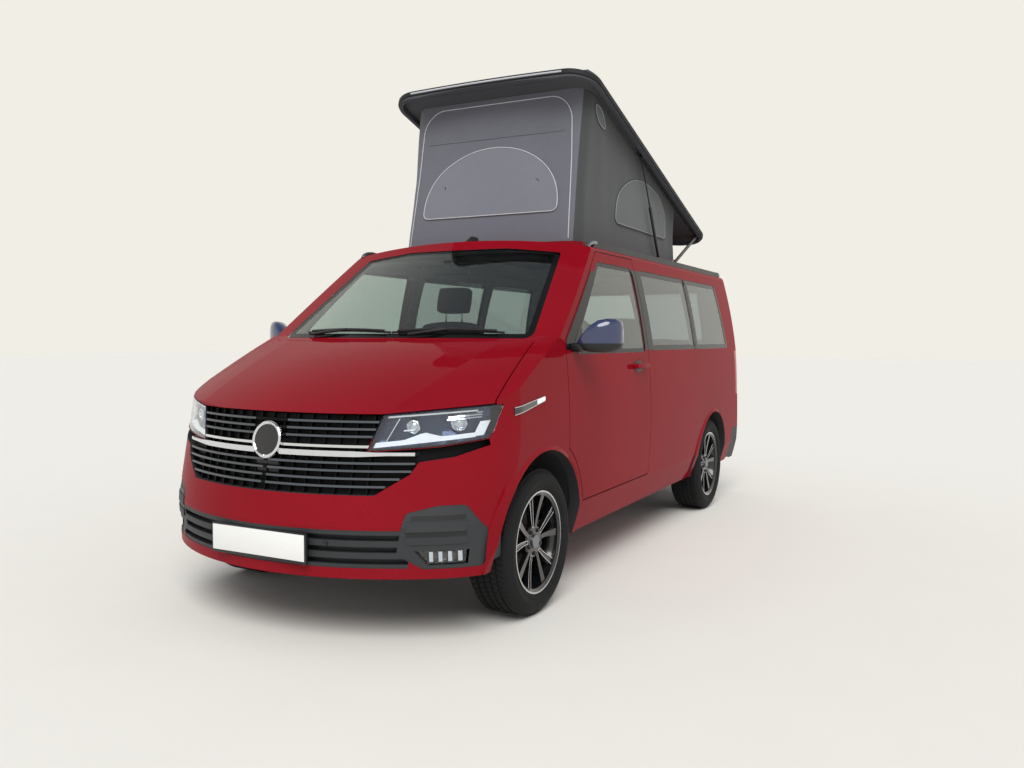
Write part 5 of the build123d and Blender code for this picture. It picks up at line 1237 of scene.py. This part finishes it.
class CAMPER_OT_fit_mirrors(bpy.types.Operator):
    """Door mirrors: gloss caps on black skirts and feet, silvered glass, and the black trim beside them"""
    bl_idname = "camper.fit_mirrors"
    bl_label = "Fit Mirrors"

    def execute(self, context):
        for side, sign in SIDES:
            door = "door_" + side
            way = LEFT * -sign
            bm = self.housing(sign)
            slab(bm, (1.176, sign * 0.948, 1.2620), (0.070, 0.070, 0.044), 0.014, index=1, segments=3)
            settle(bm, "door_mirror_" + side, door,
                   ["mirror_cap_lacquer", "satin_black_abs", "silvered_glass"],
                   ["mirror_" + side], sharp=50.0)
            # black strip on the door's frame, from the belt up the windscreen pillar
            leaf = surface(door)
            skin = surface(door, "door_glass_" + side)
            front, rear = [], []
            for z in steps(1.250, 1.679, 13):
                edge, opening = self.frame_span(leaf, sign, z)
                front.append(Vector((edge - 0.006, sign, z)))
                rear.append(Vector((opening + 0.002, sign, z)))
            bm = bmesh.new()
            strip(bm, skin, way, front, rear, 0.0006, 0.0016)
            settle(bm, "door_frame_strip_" + side, door, ["black_glass_print"])
            points = []
            for (xa, za), (xb, zb) in zip(MIRROR_COVER, MIRROR_COVER[1:] + MIRROR_COVER[:1]):
                points += [Vector((x, sign, z)) for x, z in zip(steps(xa, xb, 6)[:-1], steps(za, zb, 6)[:-1])]
            bm = plate(points, skin, way, 0.0015, 4, 0.002)
            settle(bm, "mirror_cover_" + side, door, ["satin_black_abs"])
        return {"FINISHED"}

    def housing(self, sign):
        """Mirror bridged over its ribs: cap, skirt and a sunk pane, with their finishes."""
        bm = bmesh.new()
        loops = []
        for y, front, rear, low, high in MIRROR_RIBS:
            ring = bmesh.ops.create_circle(bm, cap_ends=False, radius=1.0, segments=28)["verts"]
            for vert in ring:
                across = (front + rear + (front - rear) * copysign(abs(vert.co.x) ** 0.68, vert.co.x)) / 2
                up = (low + high + (high - low) * copysign(abs(vert.co.y) ** 0.75, vert.co.y)) / 2
                vert.co = (across, sign * y, up)
            loops.append(list({edge for vert in ring for edge in vert.link_edges}))
        for near, far in zip(loops, loops[1:]):
            bmesh.ops.bridge_loops(bm, edges=near + far)
        for loop in (loops[0], loops[-1]):
            bmesh.ops.contextual_create(bm, geom=loop)
        bmesh.ops.recalc_face_normals(bm, faces=bm.faces)
        pane = {face for face in bm.faces
                if face.normal.x < -0.86 and 1.03 < abs(face.calc_center_median().y) < 1.146}
        bmesh.ops.inset_region(bm, faces=list(pane), thickness=0.006, depth=-0.004, use_even_offset=True,
                               use_boundary=True)
        shell = [face for face in bm.faces if face not in pane]
        bmesh.ops.bisect_plane(bm, geom=bm.verts[:] + bm.edges[:] + shell, plane_co=(0, 0, SKIRT_TOP),
                               plane_no=UP)
        for face in bm.faces:
            dark = face.calc_center_median().z < SKIRT_TOP or face.normal.x < -0.55
            face.material_index = 2 if face in pane else 1 if dark else 0
        return bm

    def frame_span(self, tree, sign, z):
        """Front edge of a door at a height, and the front edge of its window's opening."""
        def bare(x):
            return tree.ray_cast((x, sign * RAY_START, z), LEFT * -sign)[0] is None

        edge = 1.45
        while bare(edge):
            edge -= 0.002
            if edge < 0.5:
                raise RuntimeError(f"no part of the door at {z}")
        opening = edge
        while not bare(opening) and opening > edge - 0.16:
            opening -= 0.002
        return edge, opening


HANDLE_Z = 1.145
CUP_Z = 1.143
# name, node, body, x and side
HANDLES = (("door_handle_left", "door_left", "door_left", 0.230, 1.0),
           ("door_handle_right", "door_right", "door_right", 0.230, -1.0),
           ("slide_handle", "sliding_door", "van", -0.175, -1.0))


class CAMPER_OT_fit_handles(bpy.types.Operator):
    """Door handles with dark sheets in their cups as painted shade, and the sliding door's track"""
    bl_idname = "camper.fit_handles"
    bl_label = "Fit Handles"

    def execute(self, context):
        _, sizes = chosen()
        long = sizes.handle_length
        for name, node, body, x, sign in HANDLES:
            skin = surface(node)
            way = LEFT * -sign
            face = laid(skin, [Vector((x, sign, CUP_Z))], way)[0].y
            bm = bmesh.new()
            slab(bm, (x, face + sign * 0.030, HANDLE_Z), (long, 0.015, 0.030), 0.0068, segments=3)
            for end in (-0.42, 0.42):
                slab(bm, (x + end * long, face + sign * 0.012, HANDLE_Z), (0.034, 0.036, 0.026), 0.006)
            settle(bm, name, body, ["metallic_red_handle"])
            # a dark sheet laid in the cup under each handle: painted shade of the recess
            turns = steps(0.0, 2 * pi, 28)[:-1]
            cup = [Vector((x + 0.078 * cos(turn), sign, CUP_Z + 0.034 * sin(turn))) for turn in turns]
            shade = plate(cup, skin, way, 0.0008, 3, 0.001)
            settle(shade, name + "_cup", body, ["satin_black_abs"])
        # track of the sliding door along the right rear quarter
        bm = bmesh.new()
        lower, upper = ([Vector((x, -1.0, z)) for x in steps(-1.046, -2.050, 36)] for z in (1.057, 1.075))
        strip(bm, surface("body_sides"), LEFT, lower, upper, 0.0003, 0.003)
        settle(bm, "slide_track", "van", ["satin_black_abs"])
        return {"FINISHED"}


class CAMPER_OT_fit_wipers(bpy.types.Operator):
    """Two windscreen wipers and the rear one"""
    bl_idname = "camper.fit_wipers"
    bl_label = "Fit Wipers"

    def execute(self, context):
        _, sizes = chosen()
        pane = surface("windscreen")
        for name, start, stop, pivot in (("wiper_driver", 0.640, 0.640, (0.140, 1.312)),
                                         ("wiper_passenger", 0.010, 0.020, (-0.545, 1.314))):
            run = steps(start, stop - sizes.wiper_length, 16)
            line = [Vector((0.0, y, 1.330 + 0.010 * sin(pi * k / 16))) for k, y in enumerate(run)]
            spine = laid(pane, line[1:-1], -FORWARD, 0.0155)
            foot = laid(pane, [Vector((0.0, *pivot))], -FORWARD, 0.016)[0]
            reach = [foot.lerp(spine[7], share) + FORWARD * 0.010 * sin(pi * share)
                     for share in steps(0.0, 1.0, 8)]
            for part, points, radius in (("_rubber", laid(pane, line, -FORWARD, 0.0065), 0.0062),
                                         ("_blade", spine, 0.0068), ("_arm", reach, 0.0085)):
                cord(name + part, points, radius, "van", "satin_black_abs")
        pane = surface("tailgate_glass")
        # name, y and z from and to, steps, lift and radius
        for name, ys, zs, parts, lift, radius in (
                ("wiper_rear_blade", (-0.05, 0.31), (1.290, 1.296), 12, 0.008, 0.0065),
                ("wiper_rear_arm", (-0.08, 0.12), (1.268, 1.290), 8, 0.019, 0.0085)):
            line = [Vector((0.0, y, z)) for y, z in zip(steps(*ys, parts), steps(*zs, parts))]
            cord(name, laid(pane, line, FORWARD, lift), radius, "tailgate", "satin_black_abs")
        return {"FINISHED"}


# low and high z and finish of the fields across a tail lamp
LAMP_FIELDS = ((0.866, 0.915, 1), (0.925, 0.975, 2), (1.150, 1.196, 3))


class CAMPER_OT_dress_tail(bpy.types.Operator):
    """Blank rear plate with its handle, brake light, roof corners, fields of the tail lamps and reflectors"""
    bl_idname = "camper.dress_tail"
    bl_label = "Dress Tail"

    def execute(self, context):
        _, sizes = chosen()
        wide, tall = sizes.plate_width, sizes.plate_height
        middle, end = (p.x for p in laid(surface("tailgate"), row([0.0, wide / 2 + 0.06], 0.930), FORWARD))
        lean = Matrix.Rotation(radians(5.6), 4, "Y")
        deep = end - middle + 0.016
        bm = bmesh.new()
        slab(bm, (middle - 0.008 + deep / 2, 0.0, 0.945), (deep, wide + 0.12, tall + 0.12), 0.004, lean,
             index=1)
        slab(bm, (middle - 0.0095, 0.0, 0.925), (0.003, wide, tall), 0.0012, lean)
        slab(bm, (middle - 0.010, 0.0, 1.022), (0.016, wide + 0.10, 0.032), 0.006, lean, index=2)
        settle(bm, "rear_plate", "tailgate", ["plate_white", "satin_black_abs", "metallic_red_handle"])

        bm = bmesh.new()
        run = steps(-0.17, 0.17, 10)
        gate = surface("tailgate", "tailgate_glass")
        strip(bm, gate, FORWARD, row(run, 1.775), row(run, 1.795), 0.0004, 0.006)
        settle(bm, "brake_light", "tailgate", ["red_lens"])

        # corners of the roof beside the tailgate's top
        bm = bmesh.new()
        for _, sign in SIDES:
            low, high = ([Vector((x + 0.145 * (y - 0.69), sign * y, z)) for y in steps(0.6800, 0.7515, 6)]
                         for x, z in ((-2.2655, 1.7015), (-2.2560, 1.8005)))
            ribbon(bm, low, high, 0.012, FORWARD)
            slab(bm, (-2.236, sign * 0.702, 1.751), (0.008, 0.098, 0.096), 0.001)
        settle(bm, "roof_corners", "van", ["metallic_red_handle"])

        lamps = surface("tail_lamps")
        bumper = surface("rear_bumper")
        for side, sign in SIDES:
            bm = bmesh.new()
            run = steps(sign * 0.812, sign * 0.897, 8)
            for low, high, index in LAMP_FIELDS:
                strip(bm, lamps, FORWARD, row(run, low), row(run, high), 0.0004, 0.0022, index)
            levels = steps(0.985, 1.140, 8)
            for y in (0.822, 0.872):
                strip(bm, lamps, FORWARD, upright(sign * y, levels), upright(sign * (y + 0.012), levels),
                      0.0004, 0.0022)
            settle(bm, "lamp_fields_" + side, "van",
                   ["red_lens_bright", "smoked_lens", "frosted_light_guide", "amber_lens"])
            bm = bmesh.new()
            run = steps(sign * 0.56, sign * 0.72, 6)
            strip(bm, bumper, FORWARD, row(run, 0.452), row(run, 0.482), 0.0003, 0.003)
            settle(bm, "reflector_" + side, "van", ["red_lens_bright"])
        return {"FINISHED"}


# Cabin

CROWN = 0.35   # how far a cushion goes from a box to a ball


def on_ball(a, b, c):
    """First coordinate of a point of a cube, carried to the ball in it."""
    return a * sqrt(1 - b * b / 2 - c * c / 2 + b * b * c * c / 3)


def cushion(name, centre, size, turn, channels=()):
    """Crowned cushion with sewn channels across it, as a closed padded form."""
    bm = bmesh.new()
    bmesh.ops.create_cube(bm, size=2.0)
    bmesh.ops.subdivide_edges(bm, edges=bm.edges[:], cuts=11, use_grid_fill=True)
    for vert in bm.verts:
        x, y, z = vert.co
        soft = vert.co.lerp(Vector((on_ball(x, y, z), on_ball(y, z, x), on_ball(z, x, y))), CROWN)
        # sides pull in between the corners
        soft.x *= 1 - 0.03 * (1 - y * y)
        soft.y *= 1 - 0.03 * (1 - x * x)
        if z > 0.5:
            for across in channels:
                soft.z -= 0.16 * max(0.0, 1 - abs(y - across) / 0.12) * (1 - 0.6 * x * x)
        vert.co = soft
    place = Matrix.Translation(Vector(centre)) @ turn @ Matrix.Diagonal((*(Vector(size) / 2), 1.0))
    bmesh.ops.transform(bm, matrix=place, verts=bm.verts)
    piece = settle(bm, name, "van", ["seat_cloth"], sharp=70.0)
    smooth = piece.modifiers.new("padding", "SUBSURF")
    smooth.levels = 1
    smooth.render_levels = 1
    return piece


class CAMPER_OT_upholster_seats(bpy.types.Operator):
    """Padded front seats and bench, on moulded bases"""
    bl_idname = "camper.upholster_seats"
    bl_label = "Upholster Seats"

    def execute(self, context):
        level = Matrix.Identity(4)
        back, rest = (Matrix.Rotation(radians(90 - lean), 4, "Y") @ Matrix.Rotation(pi, 4, "X")
                      for lean in (15.5, 12.0))
        sewn, bench_sewn = (-0.55, 0.55), (-0.5, 0.5)
        first = None
        bm = bmesh.new()
        for side, sign in SIDES:
            y = sign * 0.400
            seat = cushion("seat_cushion_" + side, (0.575, y, 0.762), (0.530, 0.490, 0.130), level,
                           sewn)
            first = first or seat
            cushion("seat_back_" + side, (0.268, y, 1.115), (0.640, 0.480, 0.108), back, sewn)
            cushion("head_rest_" + side, (0.157, y, 1.556), (0.180, 0.250, 0.092), back)
            slab(bm, (0.565, y, 0.567), (0.465, 0.450, 0.250), 0.030)
            for post in (-0.062, 0.062):
                slab(bm, (0.168, y + post, 1.452), (0.012, 0.012, 0.110), 0.004, index=1)
        for name, y in (("a", 0.212), ("b", -0.292)):
            cushion("bench_cushion_" + name, (-1.020, y, 0.815), (0.550, 0.490, 0.126), level,
                    bench_sewn)
            cushion("bench_back_" + name, (-1.312, y, 1.165), (0.640, 0.490, 0.106), rest, bench_sewn)
        slab(bm, (-1.025, -0.040, 0.598), (0.520, 0.950, 0.312), 0.020)
        settle(bm, "seat_bases", "van", ["soft_dash_skin", "polished_rod"])
        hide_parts("seats")
        return {"FINISHED"}


class CAMPER_OT_fit_cab(bpy.types.Operator):
    """Vents, display, console and scuttle tray of the dashboard, the inside mirror and the galley's top"""
    bl_idname = "camper.fit_cab"
    bl_label = "Fit Cab"

    def execute(self, context):
        bm = bmesh.new()
        tilt = Matrix.Rotation(radians(-24), 4, "Y")
        for y in (0.680, 0.120, -0.120, -0.680):
            slab(bm, (0.990, y, 1.165), (0.018, 0.130, 0.070), 0.006, tilt)
            for z in steps(1.143, 1.185, 3):
                slab(bm, (0.979, y, z), (0.006, 0.114, 0.004), 0.0015, tilt, index=1)
        slab(bm, (0.962, 0.0, 1.080), (0.016, 0.235, 0.140), 0.006, Matrix.Rotation(radians(-8), 4, "Y"),
             index=2)
        slab(bm, (1.060, 0.0, 0.940), (0.120, 0.200, 0.110), 0.020)
        slab(bm, (1.398, 0.0, 1.198), (0.205, 1.500, 0.014), 0.004)
        settle(bm, "dash_fittings", "van", ["satin_black_abs", "anodised_aluminium", "black_glass_print"])
        bm = bmesh.new()
        slab(bm, (0.852, 0.0, 1.700), (0.034, 0.230, 0.062), 0.014, Matrix.Rotation(radians(10), 4, "Y"),
             segments=3)
        slab(bm, (0.868, 0.0, 1.738), (0.060, 0.055, 0.040), 0.012)
        settle(bm, "inside_mirror", "van", ["satin_black_abs"])
        bm = bmesh.new()
        slab(bm, (-0.760, 0.730, 1.1975), (1.270, 0.335, 0.015), 0.005)
        settle(bm, "galley_top", "van", ["soft_dash_skin"])
        return {"FINISHED"}


# Stage

CAMERA_PLACE = (5.2613, 2.7154, 1.3053)
CAMERA_TURN = (-152.33, -2.951, 0.192)   # yaw, pitch and roll in degrees
CAMERA_LENS = 30.99                      # mm, on a sensor 36 mm wide
FLOOR_REACH = 60.0


class CAMPER_OT_set_stage(bpy.types.Operator):
    """Floor, studio light and the camera at the photograph's viewing angle"""
    bl_idname = "camper.set_stage"
    bl_label = "Set Stage"

    def execute(self, context):
        tones, _ = chosen()
        scene = context.scene
        scene.view_settings.view_transform = "Standard"
        # matt backdrop paper: pale and almost even
        tree, shader, place = blank("studio_floor_paper", Roughness=0.9)
        fibre = add(tree, "TexNoise", {"Vector": place.outputs["Object"], "Scale": 3.0, "Detail": 4.0})
        tone = add(tree, "Mix", {"Factor": fibre.outputs["Fac"], 6: tuple(tones.floor),
                                 7: darker(tones.floor, 0.97)}, data_type="RGBA")
        plug(tree, shader, {"Base Color": tone.outputs[2]})
        bm = bmesh.new()
        bmesh.ops.create_grid(bm, x_segments=2, y_segments=2, size=FLOOR_REACH)
        floor = settle(bm, "studio_floor", None, ["studio_floor_paper"])

        world = bpy.data.worlds.new("studio_world")
        scene.world = world
        world.use_nodes = True
        tree = world.node_tree
        back = tree.nodes["Background"]
        back.inputs["Color"].default_value = linear("F0F2F6")
        back.inputs["Strength"].default_value = 0.55
        # pale round the horizon, where the camera looks, and a darker ceiling that only gloss shows
        outwards = add(tree, "TexCoord")
        height = add(tree, "SeparateXYZ", {0: outwards.outputs["Generated"]})
        ceiling = add(tree, "MapRange", {"Value": height.outputs["Z"], "From Min": 0.42, "From Max": 0.85})
        sky = add(tree, "Mix", {"Factor": ceiling.outputs[0], 6: tuple(tones.floor), 7: linear("8E9298")},
                  data_type="RGBA")
        seen = add(tree, "Background", {"Color": sky.outputs[2], "Strength": 1.0})
        ray = add(tree, "LightPath")
        shown = add(tree, "Math", {0: ray.outputs["Is Camera Ray"], 1: ray.outputs["Is Transmission Ray"]},
                    operation="MAXIMUM")
        mirrored = add(tree, "Math", {0: shown.outputs[0], 1: ray.outputs["Is Glossy Ray"]},
                       operation="MAXIMUM")
        mix = add(tree, "MixShader", {0: mirrored.outputs[0], 1: back.outputs[0], 2: seen.outputs[0]})
        plug(tree, tree.nodes["World Output"], {"Surface": mix.outputs[0]})

        sun = bpy.data.lights.new("studio_sun", "SUN")
        sun.energy = 2.2
        sun.angle = radians(38)
        lamp = bpy.data.objects.new("studio_sun", sun)
        scene.collection.objects.link(lamp)
        lamp.rotation_euler = Vector((-0.75, -0.45, -1.0)).to_track_quat("-Z", "Y").to_euler()

        yaw, pitch, roll = (radians(turn) for turn in CAMERA_TURN)
        view = Vector((cos(yaw) * cos(pitch), sin(yaw) * cos(pitch), sin(pitch)))
        right = view.cross(UP).normalized()
        top = right.cross(view)
        right, top = right * cos(roll) + top * sin(roll), top * cos(roll) - right * sin(roll)
        lens = bpy.data.cameras.new("photo_camera")
        lens.sensor_fit = "HORIZONTAL"
        lens.sensor_width = 36.0
        lens.lens = CAMERA_LENS
        lens.clip_end = 200.0
        camera = bpy.data.objects.new("photo_camera", lens)
        scene.collection.objects.link(camera)
        turn = Matrix((right, top, -view)).transposed().to_4x4()
        camera.matrix_world = Matrix.Translation(CAMERA_PLACE) @ turn
        scene.camera = camera
        return {"FINISHED"}


class CAMPER_PT_pieces(bpy.types.Panel):
    """Lists the pieces with their sizes and colours"""
    bl_label = "Camper"
    bl_idname = "CAMPER_PT_pieces"
    bl_space_type = "VIEW_3D"
    bl_region_type = "UI"
    bl_category = "Camper"

    def draw(self, context):
        column = self.layout.column(align=True)
        for operator in OPERATORS:
            column.operator(operator.bl_idname)
        for group in (context.scene.camper_colours, context.scene.camper_sizes):
            box = self.layout.box()
            for key in group.__annotations__:
                box.prop(group, key)


OPERATORS = (
    CAMPER_OT_paint_panels,
    CAMPER_OT_raise_tent,
    CAMPER_OT_trim_roof,
    CAMPER_OT_fit_tyres,
    CAMPER_OT_fit_rims,
    CAMPER_OT_fit_headlamps,
    CAMPER_OT_dress_nose,
    CAMPER_OT_edge_glass,
    CAMPER_OT_fit_mirrors,
    CAMPER_OT_fit_handles,
    CAMPER_OT_fit_wipers,
    CAMPER_OT_dress_tail,
    CAMPER_OT_upholster_seats,
    CAMPER_OT_fit_cab,
    CAMPER_OT_set_stage,
)
CLASSES = (CamperColours, CamperSizes, *OPERATORS, CAMPER_PT_pieces)


def register():
    for kind in CLASSES:
        bpy.utils.register_class(kind)
    bpy.types.Scene.camper_colours = PointerProperty(type=CamperColours)
    bpy.types.Scene.camper_sizes = PointerProperty(type=CamperSizes)


def unregister():
    del bpy.types.Scene.camper_sizes
    del bpy.types.Scene.camper_colours
    for kind in reversed(CLASSES):
        bpy.utils.unregister_class(kind)


def main():
    register()
    for operator in OPERATORS:
        group, action = operator.bl_idname.split(".")
        getattr(getattr(bpy.ops, group), action)()


if __name__ == "__main__":
    main()
